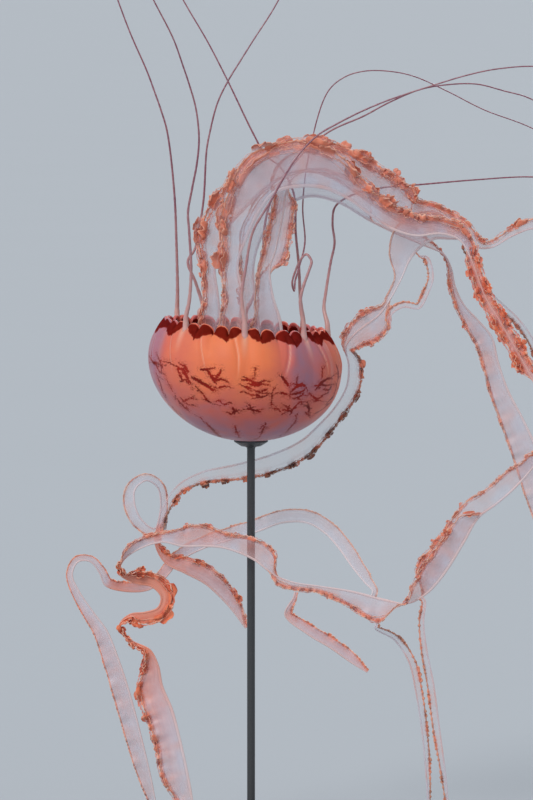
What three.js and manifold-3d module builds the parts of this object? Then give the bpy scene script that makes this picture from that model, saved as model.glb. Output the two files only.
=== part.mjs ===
// Sea nettle jellyfish, bell down, on a rod stand. Millimetres, +Z up, +X to the animal's right as seen from the
// front, +Y towards the back. The origin is the middle of the underside of the stand's base.
import * as THREE from "three";
import { mergeVertices } from "three/addons/utils/BufferGeometryUtils.js";
import Module from "manifold-3d";

const wasm = await Module();
wasm.setup();

// ---------------------------------------------------------------- driving dimensions
const GAP = 0.3; // air between two nodes that touch

// Bell: an upturned dome. Its outline is two quarter ellipses that share the widest circle.
const BELL_RADIUS = 96.5;
const BELL_APEX_Z = 412;
const BELL_LEAN = 6; // the apex lies this far towards +X
const BELL_WIDEST_Z = 491;
const BELL_MOUTH_REACH = 68; // half height of the upper ellipse
const BELL_MOUTH_ANGLE = 35; // degrees up the upper ellipse where the margin ends
const BELL_WALL_APEX = 15;
const BELL_WALL_MARGIN = 2.6;
const BELL_FLOOR_Z = 433; // flat floor inside, where the manubrium stands
const MARGIN_TILT = -0.078; // the margin drops towards +X
const LAPPETS = 32;
const LAPPET_HEIGHT = 8;
const FURROWS = 16;
const FURROW_DEPTH = 2.4;
const AROUND = LAPPETS * 3;

// Tentacle roots sit in the clefts between the lappets.
const ROOT_RADIUS = 82.4;
const BULB_RADIUS = 4;
const BULB_RISE = 4;
const BULB_SINK = 9;

const MANUBRIUM_TOP_Z = 498;
const MANUBRIUM_TOP_RADIUS = 50;
const MANUBRIUM_WAIST_RADIUS = 33;
const MANUBRIUM_FOOT_RADIUS = 32;

const BASE_SIZE = [300, 220];
const BASE_THICKNESS = 10;
const BASE_CORNER = 18;
const BASE_BEVEL = 1.5;
const ROD_RADIUS = 4;
const ROD_SINK = 2; // how far the rod runs into its cradle
const CRADLE_RADIUS = 17;
const CRADLE_THICKNESS = 5;

const KEEL_THICKNESS = 1.4;
const FRILL_THICKNESS = 0.8;
const MIN_WING = 2;
const ROOT_GAP = 0.35; // air between a branch and the edge that it grows from
const ROOT_RUN = 5; // how far a branch runs straight out of its root
const RUFFLE_HEIGHT = 3.2;
const RUFFLE_LENGTH = 27;
const ARM_STEP = 9;
const TENTACLE_STEP = 15;
const TENTACLE_SIDES = 6;

const degrees = THREE.MathUtils.degToRad;
const lerp = THREE.MathUtils.lerp;
const clamp = THREE.MathUtils.clamp;

// ---------------------------------------------------------------- meshes and solids
function geometryOf(points, faces) {
  const geometry = new THREE.BufferGeometry();
  geometry.setAttribute("position", new THREE.Float32BufferAttribute(points.flatMap((p) => [p.x, p.y, p.z]), 3));
  geometry.setIndex(faces.flat());
  return geometry;
}

function signedVolume(points, faces) {
  const cross = new THREE.Vector3();
  return faces.reduce((sum, [a, b, c]) => sum + points[a].dot(cross.crossVectors(points[b], points[c])) / 6, 0);
}

// A closed mesh with its faces turned outwards.
function closedGeometry(points, faces) {
  const outward = signedVolume(points, faces) < 0 ? faces.map(([a, b, c]) => [a, c, b]) : faces;
  return geometryOf(points, outward);
}

function solidOf(geometry) {
  const bare = geometry.index ? geometry.toNonIndexed() : geometry.clone();
  bare.deleteAttribute("normal");
  bare.deleteAttribute("uv");
  const merged = mergeVertices(bare, 1e-3);
  return new wasm.Manifold(
    new wasm.Mesh({
      numProp: 3,
      vertProperties: merged.attributes.position.array,
      triVerts: new Uint32Array(merged.index.array),
    }),
  );
}

function geometryOfSolid(solid) {
  const { numProp, numVert, vertProperties, triVerts } = solid.getMesh();
  const positions = new Float32Array(numVert * 3);
  for (let i = 0; i < numVert; i++) positions.set(vertProperties.subarray(i * numProp, i * numProp + 3), i * 3);
  return new THREE.BufferGeometry()
    .setAttribute("position", new THREE.BufferAttribute(positions, 3))
    .setIndex(new THREE.BufferAttribute(triVerts, 1));
}

// Pieces joined into one closed body.
const fused = (geometries) => geometryOfSolid(geometries.map(solidOf).reduce((a, b) => a.add(b)));

// ---------------------------------------------------------------- bell
const smooth = (t) => t * t * (3 - 2 * t);
const aroundPoint = (radius, angle, z) => new THREE.Vector3(radius * Math.sin(angle), -radius * Math.cos(angle), z);

// Outline of the bell at an angle from the widest circle: the apex is at -90 degrees.
function outline(phi) {
  const reach = phi < 0 ? BELL_WIDEST_Z - BELL_APEX_Z : BELL_MOUTH_REACH;
  const point = new THREE.Vector2(BELL_RADIUS * Math.cos(phi), reach * Math.sin(phi));
  const normal = new THREE.Vector2(point.x / BELL_RADIUS ** 2, point.y / reach ** 2).normalize();
  return { radius: point.x, z: BELL_WIDEST_Z + point.y, normal };
}

// 0 at the apex and 1 at the margin.
const marginShare = (z) => smooth(clamp((z - BELL_APEX_Z) / (outline(degrees(BELL_MOUTH_ANGLE)).z - BELL_APEX_Z), 0, 1));

// How far the bell's middle lies towards +X at a height.
const lean = (z) => BELL_LEAN * (1 - smooth(clamp((z - BELL_APEX_Z) / (BELL_WIDEST_Z - BELL_APEX_Z), 0, 1)));

// The lappets: a cleft every third step, with two high steps between.
const isCleft = (step) => step % 3 === 0;
const furrow = (step) => Math.abs(Math.sin((Math.PI * step * FURROWS) / AROUND)) - 0.5;

function bellRing(radius, z, share, lift) {
  return Array.from({ length: AROUND }, (_, step) => {
    const angle = (2 * Math.PI * step) / AROUND;
    const raised = isCleft(step) ? lift - LAPPET_HEIGHT * (lift ? 1 : 0) : lift;
    const p = aroundPoint(radius + FURROW_DEPTH * share * furrow(step), angle, z + raised);
    p.z += MARGIN_TILT * p.x * share;
    p.x += lean(z);
    return p;
  });
}

function bellShell() {
  const outerSteps = 9;
  const innerSteps = 6;
  const top = degrees(BELL_MOUTH_ANGLE);
  const rings = [];
  for (let i = 1; i <= outerSteps; i++) {
    const phi = lerp(-Math.PI / 2, top, i / outerSteps);
    const { radius, z } = outline(phi);
    const last = i === outerSteps;
    rings.push(bellRing(radius, last ? z - LAPPET_HEIGHT : z, marginShare(z), last ? LAPPET_HEIGHT : 0));
  }
  for (let j = 0; j <= innerSteps; j++) {
    const phi = lerp(top, degrees(-62), j / innerSteps);
    const { radius, z, normal } = outline(phi);
    const wall = lerp(BELL_WALL_MARGIN, BELL_WALL_APEX, smooth(j / innerSteps) ** 0.8);
    const inner = { radius: radius - normal.x * wall, z: Math.max(z - normal.y * wall, BELL_FLOOR_Z) };
    const first = j === 0;
    const floor = j === innerSteps ? BELL_FLOOR_Z : inner.z;
    const share = j === innerSteps ? 0 : marginShare(z);
    rings.push(bellRing(inner.radius, first ? floor - LAPPET_HEIGHT : floor, share, first ? LAPPET_HEIGHT : 0));
  }
  const pole = (z) => new THREE.Vector3(lean(z), 0, z);
  const points = [pole(BELL_APEX_Z), ...rings.flat(), pole(BELL_FLOOR_Z)];
  const last = points.length - 1;
  const at = (ring, step) => 1 + ring * AROUND + (step % AROUND);
  const faces = [];
  for (let step = 0; step < AROUND; step++) {
    faces.push([0, at(0, step), at(0, step + 1)]);
    for (let ring = 0; ring < rings.length - 1; ring++) {
      faces.push([at(ring, step), at(ring + 1, step), at(ring + 1, step + 1)]);
      faces.push([at(ring, step), at(ring + 1, step + 1), at(ring, step + 1)]);
    }
    faces.push([last, at(rings.length - 1, step + 1), at(rings.length - 1, step)]);
  }
  return closedGeometry(points, faces);
}

// Where a tentacle leaves the margin, at an angle from the front towards +X.
function rootPoint(angle) {
  const p = aroundPoint(ROOT_RADIUS, degrees(angle), outline(degrees(BELL_MOUTH_ANGLE)).z - LAPPET_HEIGHT);
  p.z += MARGIN_TILT * p.x * marginShare(p.z) + BULB_RISE;
  return p;
}

function bulb(angle) {
  const height = BULB_RISE + BULB_SINK;
  const top = rootPoint(angle);
  return new THREE.CylinderGeometry(BULB_RADIUS * 0.8, BULB_RADIUS, height, 10)
    .rotateX(Math.PI / 2)
    .translate(top.x, top.y, top.z - height / 2);
}

function manubrium() {
  const foot = BELL_FLOOR_Z + GAP;
  const waist = lerp(foot, MANUBRIUM_TOP_Z, 0.45);
  const profile = [
    [0, foot],
    [MANUBRIUM_FOOT_RADIUS, foot],
    [MANUBRIUM_WAIST_RADIUS + 1.5, lerp(foot, waist, 0.6)],
    [MANUBRIUM_WAIST_RADIUS, waist],
    [MANUBRIUM_WAIST_RADIUS + 5, lerp(waist, MANUBRIUM_TOP_Z, 0.6)],
    [MANUBRIUM_TOP_RADIUS, MANUBRIUM_TOP_Z],
    [0, MANUBRIUM_TOP_Z],
  ].map(([radius, z]) => new THREE.Vector2(radius, z));
  return new THREE.LatheGeometry(profile, 24).rotateX(Math.PI / 2);
}

// ---------------------------------------------------------------- swept bodies
// Rings of points, joined in order and closed at both ends by a fan about each ring's middle.
function tubeGeometry(rings) {
  const sides = rings[0].length;
  const middle = (ring) => ring.reduce((sum, p) => sum.add(p), new THREE.Vector3()).divideScalar(sides);
  const points = [...rings.flat(), middle(rings[0]), middle(rings.at(-1))];
  const faces = [];
  for (let i = 0; i < rings.length - 1; i++)
    for (let k = 0; k < sides; k++) {
      const [a, b] = [i * sides + k, i * sides + ((k + 1) % sides)];
      faces.push([a, b, b + sides], [a, b + sides, a + sides]);
    }
  const end = (rings.length - 1) * sides;
  for (let k = 0; k < sides; k++) {
    const next = (k + 1) % sides;
    faces.push([points.length - 2, next, k], [points.length - 1, end + k, end + next]);
  }
  return closedGeometry(points, faces);
}

// Pairs of rows, one for each face of a thin sheet. Both faces are split alike, so that they can't cross.
function sheetGeometry(rows) {
  const across = rows[0].front.length;
  const points = [...rows.flatMap((row) => row.front), ...rows.flatMap((row) => row.back)];
  const back = rows.length * across;
  const at = (i, j) => i * across + j;
  const faces = [];
  const quad = (a, b, c, d) => faces.push([a, b, c], [a, c, d]);
  for (let i = 0; i < rows.length - 1; i++) {
    for (let j = 0; j < across - 1; j++) {
      const [a, b, c, d] = [at(i, j), at(i, j + 1), at(i + 1, j + 1), at(i + 1, j)];
      quad(a, b, c, d);
      faces.push([back + a, back + c, back + b], [back + a, back + d, back + c]);
    }
    quad(at(i, 0), at(i + 1, 0), back + at(i + 1, 0), back + at(i, 0));
    quad(at(i + 1, across - 1), at(i, across - 1), back + at(i, across - 1), back + at(i + 1, across - 1));
  }
  for (let j = 0; j < across - 1; j++) {
    const end = rows.length - 1;
    quad(at(0, j + 1), at(0, j), back + at(0, j), back + at(0, j + 1));
    quad(at(end, j), at(end, j + 1), back + at(end, j + 1), back + at(end, j));
  }
  return closedGeometry(points, faces);
}

// ---------------------------------------------------------------- routes
// Every route is a list of points x, y, z chosen by hand. Their heights are lined up as seen from the front and a
// little above, so a point further back sits lower by this slope.
const SIGHT_SLOPE = 0.077;
const placed = (x, y, z) => new THREE.Vector3(x, y, z - SIGHT_SLOPE * y);

const route = (points) => {
  const curve = new THREE.CatmullRomCurve3(points, false, "centripetal");
  curve.arcLengthDivisions = 600;
  return curve;
};

// ---------------------------------------------------------------- tentacles
// Thickness of a tentacle, by the length from its root.
const TENTACLE_TIP_RADIUS = 0.55;
const tentacleRadius = (length) => TENTACLE_TIP_RADIUS + 1.2 * Math.exp(-length / 170) + 1.45 * Math.exp(-length / 14);

// Each tentacle: the angle of its root from the front towards +X, the number of lengths, its route, and a finer step
// where it turns sharply.
const TENTACLES = {
  front: {
    angle: 0,
    lengths: 2,
    through: [[-3, -82, 556], [1, -80, 583], [8, -78, 619], [24, -76, 647], [52, -74, 694], [71, -73, 714],
      [91, -73, 726], [117, -74, 739], [144, -76, 750], [181, -80, 762], [218, -85, 773], [248, -89, 779],
      [288, -94, 781], [330, -98, 772], [368, -100, 750]],
  },
  front_right: {
    angle: 45,
    lengths: 3,
    step: 9,
    through: [[55, -60, 552], [58, -59, 566], [64, -57, 583], [66, -55, 591], [61, -52, 598], [55, -49, 592],
      [50, -45, 581], [47, -40, 570], [49, -32, 562], [50, -22, 572], [54, -8, 586], [60, 22, 612], [58, 52, 650],
      [64, 58, 700], [83, 60, 764], [100, 60, 779], [120, 60, 785], [145, 62, 785], [170, 64, 780], [204, 67, 765],
      [240, 70, 747], [288, 74, 729], [340, 78, 700]],
  },
  right: {
    angle: 90,
    lengths: 2,
    through: [[79, 6, 545], [81, 16, 562], [86, 38, 592], [90, 50, 612], [88, 56, 632], [91, 57, 649],
      [112, 58, 662], [140, 60, 668], [176, 62, 671], [233, 66, 676], [288, 70, 679], [325, 74, 675], [360, 78, 660]],
  },
  back_right: {
    angle: 135,
    lengths: 2,
    through: [[56, 62, 552], [54, 64, 590], [51, 66, 622], [49, 68, 662], [36, 68, 688], [20, 68, 702], [8, 70, 723],
      [-18, 76, 777], [-38, 82, 816], [-59, 88, 852], [-92, 96, 912]],
  },
  back: {
    angle: 180,
    lengths: 2,
    through: [[10, 84, 562], [14, 83, 590], [18, 82, 604], [19, 82, 625], [26, 82, 655], [52, 82, 696], [83, 81, 722],
      [120, 80, 741], [144, 82, 754], [174, 86, 767], [196, 90, 772], [233, 96, 774], [263, 100, 767],
      [288, 104, 760], [340, 108, 728]],
  },
  back_left: {
    angle: 213.75,
    lengths: 2,
    through: [[-43, 71, 546], [-50, 72, 572], [-58, 74, 594], [-51, 75, 606], [-46, 76, 630], [-42, 77, 657],
      [-39, 78, 706], [-36, 79, 723], [-28, 81, 754], [-17, 83, 777], [-6, 85, 795], [9, 88, 819], [30, 92, 852],
      [60, 98, 912]],
  },
  left: {
    angle: 236.25,
    lengths: 2,
    through: [[-68, 42, 562], [-69, 39, 612], [-71, 35, 662], [-78, 30, 723], [-84, 30, 744], [-91, 30, 764],
      [-98, 31, 783], [-115, 34, 822], [-130, 38, 862]],
  },
  front_left: {
    angle: 315,
    lengths: 2,
    through: [[-55, -60, 551], [-53, -61, 582], [-55, -62, 622], [-56, -63, 639], [-52, -64, 662], [-47, -66, 688],
      [-45, -68, 712], [-48, -70, 741], [-54, -73, 763], [-61, -76, 784], [-70, -80, 809], [-92, -90, 852],
      [-118, -100, 908]],
  },
};
const PARTINGS = { 2: [0, 0.4, 1], 3: [0, 0.2, 0.55, 1] }; // shares of the length where it is parted

function tentacleRoute({ angle, through }) {
  const root = rootPoint(angle);
  root.z += GAP;
  const straightUp = root.clone();
  straightUp.z += 9;
  return route([root, straightUp, ...through.map((p) => placed(...p))]);
}

// One length of a tentacle. The rings keep their turn along the curve.
function tentacleLength(curve, from, to, step) {
  const total = curve.getLength();
  const [start, end] = [from * total, to * total];
  const steps = Math.ceil((end - start) / step);
  const side = new THREE.Vector3(1, 0, 0);
  const rings = [];
  for (let i = 0; i <= steps; i++) {
    const length = lerp(start, end, i / steps);
    const along = curve.getTangentAt(length / total);
    const parting = (i === 0 && from > 0) - (i === steps && to < 1);
    const centre = curve.getPointAt(length / total).addScaledVector(along, (parting * GAP) / 2);
    side.addScaledVector(along, -side.dot(along)).normalize();
    const across = new THREE.Vector3().crossVectors(along, side);
    rings.push(
      Array.from({ length: TENTACLE_SIDES }, (_, k) => {
        const turn = (2 * Math.PI * k) / TENTACLE_SIDES;
        return centre
          .clone()
          .addScaledVector(side, Math.cos(turn) * tentacleRadius(length))
          .addScaledVector(across, Math.sin(turn) * tentacleRadius(length));
      }),
    );
  }
  return tubeGeometry(rings);
}

// ---------------------------------------------------------------- oral arms
// An arm is a folded ribbon: a smooth keel along the fold and one or two thin wings that end in a ruffled edge.
// Each station of a keel is x, y, z, the wing's width, and its roll: 0 is to the left of the way the keel runs as
// seen from the front, 90 is towards the front. A length is parted from the next at its first and last stations.
// gape is the angle between two wings, and balance the second one's width as a share of the first.
const FOLDED = { wings: 2, gape: 25, balance: 0.88 };
const SINGLE = { wings: 1 };
const SPREAD = { wings: 2, gape: 170, balance: 1 };

const ARMS = {
  front: [
    { part: "base", ...FOLDED, keel: [[4, -24, 488, 36, 0], [1, -25, 530, 29, 0], [-2, -24, 560, 22, 0],
      [-7, -22, 588, 19, 0]] },
    { part: "arch_rise", ...FOLDED, keel: [[-7, -22, 588, 19, 0], [3, -22, 618, 34, 0], [16, -23, 644, 43, 0],
      [30, -24, 660, 50, 0], [55, -25, 666, 52, 0]] },
    { part: "arch_fall", ...FOLDED, keel: [[55, -25, 666, 52, 0], [80, -25, 664, 44, 0], [102, -25, 654, 30, 0],
      [123, -25, 639, 26, 0], [146, -25, 624, 27, 0]] },
    { part: "flap", ...FOLDED, keel: [[146, -25, 624, 27, 0], [170, -25, 617, 24, 0], [195, -26, 619, 20, 0],
      [213, -26, 613, 16, 0], [223, -27, 598, 13, 0]] },
    { part: "drop", ...SPREAD, keel: [[223, -27, 598, 9, 90], [231, -29, 577, 9, 90], [239, -32, 556, 9, 90],
      [252, -36, 534, 10, 90], [267, -40, 508, 10, 90], [283, -44, 478, 10, 90]] },
    { part: "bend", ...SINGLE, keel: [[283, -44, 478, 13, 0], [297, -50, 446, 12, 20], [302, -56, 412, 14, 90],
      [287, -58, 388, 16, 150], [268, -56, 366, 20, 180], [250, -54, 350, 20, 180], [232, -52, 336, 22, 180]] },
    { part: "swag", ...FOLDED, keel: [[232, -52, 336, 22, 180], [218, -50, 312, 26, 180], [205, -47, 290, 29, 180],
      [194, -44, 274, 30, 180], [181, -41, 260, 26, 170]] },
    { part: "sway", ...SINGLE, keel: [[181, -41, 260, 22, 165], [162, -38, 250, 16, 110], [138, -35, 254, 26, 20],
      [106, -32, 262, 18, 0], [74, -29, 267, 9, 0], [48, -28, 271, 10, 10], [28, -27, 279, 12, 60]] },
    { part: "knot", ...SINGLE, keel: [[28, -27, 279, 18, 150], [8, -26, 294, 23, 170], [-20, -26, 305, 17, 180],
      [-40, -26, 307, 23, 180], [-62, -26, 307, 22, 180], [-82, -26, 311, 12, 180], [-104, -26, 305, 12, 160],
      [-122, -24, 292, 12, 100]] },
    { part: "curl", ...SINGLE, keel: [[-122, -24, 292, 11, 100], [-125, -21, 279, 12, 60], [-110, -18, 270, 15, 15],
      [-93, -15, 266, 16, 0], [-84, -13, 256, 15, 0], [-87, -11, 245, 14, 0], [-100, -9, 240, 15, 0],
      [-115, -8, 238, 11, 25], [-125, -6, 228, 8, 80], [-114, -6, 212, 8, 110], [-95, -8, 202, 11, 145]] },
    { part: "tail", ...SINGLE, keel: [[-95, -8, 202, 11, 150], [-87, -9, 186, 19, 175], [-83, -10, 166, 28, 180],
      [-73, -14, 142, 30, 180], [-65, -18, 112, 28, 180], [-57, -22, 76, 28, 180], [-49, -26, 30, 7, 180]] },
  ],
  left: [
    { part: "base", ...FOLDED, keel: [[-21, 2, 488, 26, 0], [-24, 2, 530, 24, 0], [-27, 2, 560, 17, 0],
      [-30, 3, 585, 15, 0]] },
    { part: "arch_rise", ...FOLDED, keel: [[-30, 3, 585, 15, 0], [-27, 4, 604, 26, 0], [-17, 5, 626, 32, 0],
      [0, 6, 645, 37, 0], [20, 6, 664, 39, 0], [42, 6, 678, 38, 0], [65, 6, 682, 37, 0]] },
    { part: "arch_fall", ...FOLDED, keel: [[65, 6, 682, 37, 0], [86, 6, 676, 38, 0], [106, 6, 664, 40, 0],
      [126, 6, 650, 41, 0], [146, 5, 637, 40, 0], [164, 4, 628, 32, 0]] },
    { part: "ledge", ...SINGLE, keel: [[164, 4, 628, 30, 0], [188, 2, 626, 26, 0], [212, 0, 620, 18, 0],
      [232, 0, 606, 12, 0], [246, 2, 606, 9, 0], [268, 4, 618, 10, 0], [290, 6, 625, 12, 0], [318, 8, 616, 10, 0],
      [338, 10, 594, 5, 0]] },
  ],
  right: [
    { part: "base", ...FOLDED, keel: [[37, 8, 488, 34, 0], [36, 8, 530, 33, 0], [28, 8, 558, 20, 0],
      [25, 8, 585, 13, 0]] },
    { part: "ruff", ...SPREAD, keel: [[25, 8, 585, 13, 90], [30, 10, 602, 15, 90], [34, 14, 620, 15, 90],
      [38, 20, 640, 14, 90], [41, 26, 660, 14, 90]] },
    { part: "arch", ...SINGLE, keel: [[41, 26, 660, 18, 0], [50, 29, 678, 22, 0], [74, 30, 685, 26, 0],
      [102, 30, 675, 30, 0], [132, 30, 656, 30, 0], [166, 29, 638, 26, 0]] },
    { part: "fold", ...SINGLE, keel: [[166, 29, 638, 24, 0], [194, 28, 636, 14, 0], [216, 25, 627, 8, 60],
      [218, 20, 616, 9, 120], [206, 16, 615, 18, 170], [190, 14, 615, 30, 180]] },
    { part: "slant", ...SINGLE, keel: [[190, 14, 615, 30, 180], [175, 12, 606, 33, 180], [165, 12, 594, 25, 180],
      [156, 12, 574, 8, 180], [142, 14, 549, 6, 180]] },
    { part: "shoulder", ...SPREAD, balance: 1.5, keel: [[142, 14, 549, 5, 90], [133, 18, 538, 13, 90],
      [121, 25, 529, 15, 90], [108, 30, 518, 12, 90], [101, 33, 506, 9, 90]] },
    { part: "side", ...SINGLE, keel: [[101, 33, 506, 8, 0], [104, 36, 488, 15, 0], [102, 38, 467, 15, 0],
      [91, 40, 447, 14, 0], [74, 40, 428, 16, 0], [56, 38, 412, 19, 0]] },
    { part: "trail", ...SINGLE, keel: [[56, 38, 412, 19, 0], [26, 34, 398, 20, 0], [-10, 30, 388, 17, 0],
      [-45, 26, 380, 13, 0], [-69, 22, 366, 10, 0], [-84, 18, 342, 9, 0], [-91, 16, 324, 9, 0]] },
    { part: "loop", ...SINGLE, keel: [[-91, 16, 324, 9, 0], [-104, 15, 333, 11, 0], [-111, 15, 350, 12, 0],
      [-110, 17, 364, 10, 0], [-99, 21, 372, 8, 0], [-88, 26, 365, 8, 0], [-85, 30, 349, 8, 0], [-87, 33, 332, 8, 0]] },
    { part: "tail", ...SINGLE, keel: [[-87, 33, 332, 8, 0], [-91, 36, 310, 8, 30], [-81, 38, 289, 13, 10],
      [-60, 36, 278, 18, 0], [-41, 34, 268, 19, 0], [-25, 32, 254, 17, 0], [-11, 32, 238, 12, 0], [0, 32, 222, 4, 0]] },
  ],
  back: [
    { part: "base", ...FOLDED, keel: [[17, 31, 488, 26, 0], [14, 35, 530, 22, 0], [10, 39, 560, 18, 0],
      [9, 42, 590, 16, 0]] },
    { part: "arch", ...FOLDED, keel: [[9, 42, 590, 16, 0], [18, 43, 620, 24, 0], [36, 44, 644, 28, 0],
      [62, 44, 658, 30, 0], [92, 44, 653, 30, 0], [122, 45, 636, 28, 0]] },
    { part: "ledge", ...SINGLE, keel: [[122, 45, 636, 26, 0], [150, 46, 622, 20, 0], [178, 47, 610, 12, -30],
      [200, 49, 600, 8, -90], [207, 51, 588, 6, -150]] },
    { part: "drape", ...SINGLE, keel: [[207, 51, 588, 6, -150], [212, 53, 567, 8, -180], [221, 56, 549, 11, -180],
      [235, 60, 534, 17, -180], [249, 64, 517, 20, -180], [256, 68, 491, 18, -180], [266, 70, 463, 20, -180],
      [280, 70, 436, 24, -180], [295, 70, 404, 27, -180], [308, 70, 364, 27, -180], [316, 70, 314, 18, -180],
      [318, 70, 262, 4, -180]] },
  ],
};

// Strands that branch off an arm. The first one's root lies on the keel's edge or on the frill of the length that it
// grows from, at a share of that length, and has the width and roll given.
const BRANCHES = {
  lip: {
    from: { arm: "front", part: "sway", share: 0.37, edge: "keel" },
    root: [6, 180],
    lengths: [
      { part: "swing", ...SINGLE, keel: [[120, -22, 270, 10, 180], [107, 0, 286, 13, 180], [94, 22, 304, 14, 180],
        [80, 38, 319, 14, 180], [62, 44, 329, 14, 180], [38, 46, 329, 14, 180], [12, 47, 320, 14, 180]] },
      { part: "slope", ...SINGLE, keel: [[12, 47, 320, 14, 180], [-14, 49, 312, 14, 180], [-42, 50, 303, 13, 180],
        [-66, 50, 290, 12, 180], [-82, 47, 272, 11, 180], [-98, 42, 261, 11, 180], [-122, 36, 260, 11, 180],
        [-141, 32, 266, 10, 180]] },
      { part: "loop", ...SINGLE, keel: [[-141, 32, 266, 10, 180], [-147, 30, 279, 8, 180], [-156, 28, 290, 7, 180],
        [-168, 26, 290, 7, 180], [-174, 25, 277, 7, 180], [-167, 24, 260, 9, 180], [-152, 23, 238, 12, 180]] },
      { part: "tail", ...SINGLE, keel: [[-152, 23, 238, 12, 180], [-139, 22, 220, 15, 180], [-127, 21, 190, 17, 180],
        [-116, 20, 156, 18, 180], [-106, 19, 118, 17, 180], [-96, 18, 76, 14, 180], [-87, 17, 30, 4, 180]] },
    ],
  },
  shred: {
    from: { arm: "front", part: "sway", share: 0.84, edge: "frill" },
    root: [5, 0],
    lengths: [{ part: "end", ...SINGLE, keel: [[40, -25, 238, 9, 0], [62, -25, 219, 12, 0], [85, -25, 205, 12, 0],
      [105, -25, 191, 11, 0], [122, -25, 180, 4, 0]] }],
  },
  strand: {
    from: { arm: "front", part: "sway", share: 0.3, edge: "frill" },
    root: [5, 0],
    lengths: [{ part: "inner", ...SINGLE, keel: [[150, -22, 212, 7, 0], [164, -18, 190, 8, 0], [171, -16, 160, 8, 0],
      [177, -15, 122, 7, 0], [181, -14, 82, 6, 0], [184, -14, 40, 3, 0]] }],
  },
  streamer: {
    from: { arm: "front", part: "sway", share: 0.03, edge: "keel" },
    root: [5, 180],
    lengths: [{ part: "outer", ...SINGLE, keel: [[178, -42, 232, 6, 180], [181, -42, 205, 7, 180],
      [188, -42, 170, 8, 180], [194, -42, 125, 8, 180], [200, -42, 80, 6, 180], [204, -42, 34, 3, 180]] }],
  },
  fringe: {
    from: { arm: "right", part: "slant", share: 0.28, edge: "keel" },
    root: [3, 90],
    lengths: [{ part: "fall", ...SINGLE, keel: [[183, 3, 596, 6, 180], [188, 0, 576, 7, 180], [182, -3, 558, 7, 180],
      [174, -5, 545, 7, 180], [158, -6, 546, 7, 180], [146, -6, 538, 7, 180], [146, -6, 524, 3, 180]] }],
  },
  tassel: {
    from: { arm: "left", part: "ledge", share: 0.33, edge: "keel" },
    root: [5, 180],
    lengths: [{ part: "fall", ...SINGLE, keel: [[233, 0, 588, 7, 180], [243, 0, 564, 8, 180], [257, 0, 550, 8, 180],
      [272, 0, 536, 8, 180], [288, 0, 514, 8, 180], [299, 0, 480, 6, 180], [304, 0, 440, 3, 180]] }],
  },
};

const station = ([x, y, z, width, roll]) => ({ point: placed(x, y, z), shape: [width, roll] });

// The lengths of an arm share one keel. Each has its own stretch of the keel, and its own widths and rolls.
function armRoute(lengths, root = []) {
  const own = lengths.map(({ keel }, i) => [...(i ? [] : root), ...keel.map(station)]);
  const stations = own.flatMap((list, i) => (i ? list.slice(1) : list));
  const keel = route(stations.map(({ point }) => point));
  let first = 0;
  return own.map((list) => {
    const span = [first, first + list.length - 1].map((k) => k / (stations.length - 1));
    first += list.length - 1;
    const widthAndRoll = list.map(({ shape }) => new THREE.Vector3(...shape, 0));
    const shape = new THREE.CatmullRomCurve3(widthAndRoll, false, "catmullrom", 0.5);
    return { keel, span, shape, reach: span.map((t) => lengthAt(keel, t)) };
  });
}

// Length along a curve up to a share of its stations.
function lengthAt(curve, t) {
  const lengths = curve.getLengths();
  return lengths[Math.round(t * (lengths.length - 1))];
}

// The ruffle of a free edge: two waves that don't keep time, so that no two folds are alike.
function ruffle(length, phase) {
  const turn = (2 * Math.PI * length) / RUFFLE_LENGTH + phase;
  return 0.72 * Math.sin(turn) + 0.28 * Math.sin(2.27 * turn + 1.3);
}

const WING_SHARES = [1, 0.55]; // points across a wing, from its free edge to near the keel

// One wing of a cross-section, from its free edge inwards.
function wingPoints({ centre, along, left, front, width, length }, roll, phase) {
  const out = left.clone().multiplyScalar(Math.cos(roll)).addScaledVector(front, Math.sin(roll));
  const normal = new THREE.Vector3().crossVectors(along, out);
  const lift = RUFFLE_HEIGHT * clamp(width / 20, 0.3, 1) * ruffle(length, phase);
  const points = WING_SHARES.map((share) =>
    centre
      .clone()
      .addScaledVector(out, width * share)
      .addScaledVector(normal, lift * share ** 2),
  );
  const halves = WING_SHARES.map((share) => lerp(KEEL_THICKNESS, FRILL_THICKNESS, share) / 2);
  const shifted = (sign) => points.map((p, i) => p.clone().addScaledVector(normal, sign * halves[i]));
  return { out, front: shifted(1), back: shifted(-1) };
}

// One cross-section: both faces of the first wing, the keel, and the second wing if there is one.
function armSection({ keel, span, shape }, length, { wings, gape, balance }) {
  const t = keel.getUtoTmapping(length / keel.getLength());
  const centre = keel.getPoint(t);
  const along = keel.getTangent(t);
  const left = new THREE.Vector3().crossVectors(along, new THREE.Vector3(0, 1, 0)).normalize();
  const front = new THREE.Vector3().crossVectors(along, left);
  const { x: width, y: roll } = shape.getPoint(clamp((t - span[0]) / (span[1] - span[0]), 0, 1));
  const place = { centre, along, left, front, width: Math.max(width, MIN_WING), length };
  const keelHalf = KEEL_THICKNESS / 2;
  if (wings === 1) {
    const wing = wingPoints(place, degrees(roll), 0);
    const normal = new THREE.Vector3().crossVectors(along, wing.out);
    return {
      along,
      out: wing.out,
      front: [...wing.front, centre.clone().addScaledVector(normal, keelHalf)],
      back: [...wing.back, centre.clone().addScaledVector(normal, -keelHalf)],
    };
  }
  const first = wingPoints(place, degrees(roll + gape / 2), 0);
  const second = wingPoints({ ...place, width: place.width * balance }, degrees(roll - gape / 2), 2.1);
  const out = first.out.clone().add(second.out).normalize();
  const inside = keelHalf / Math.sin(degrees(gape / 2));
  return {
    along,
    out,
    front: [...first.front, centre.clone().addScaledVector(out, -keelHalf), ...second.back.reverse()],
    back: [...first.back, centre.clone().addScaledVector(out, inside), ...second.front.reverse()],
  };
}

const armSteps = ([start, end]) => Math.ceil((end - start) / ARM_STEP);

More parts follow.
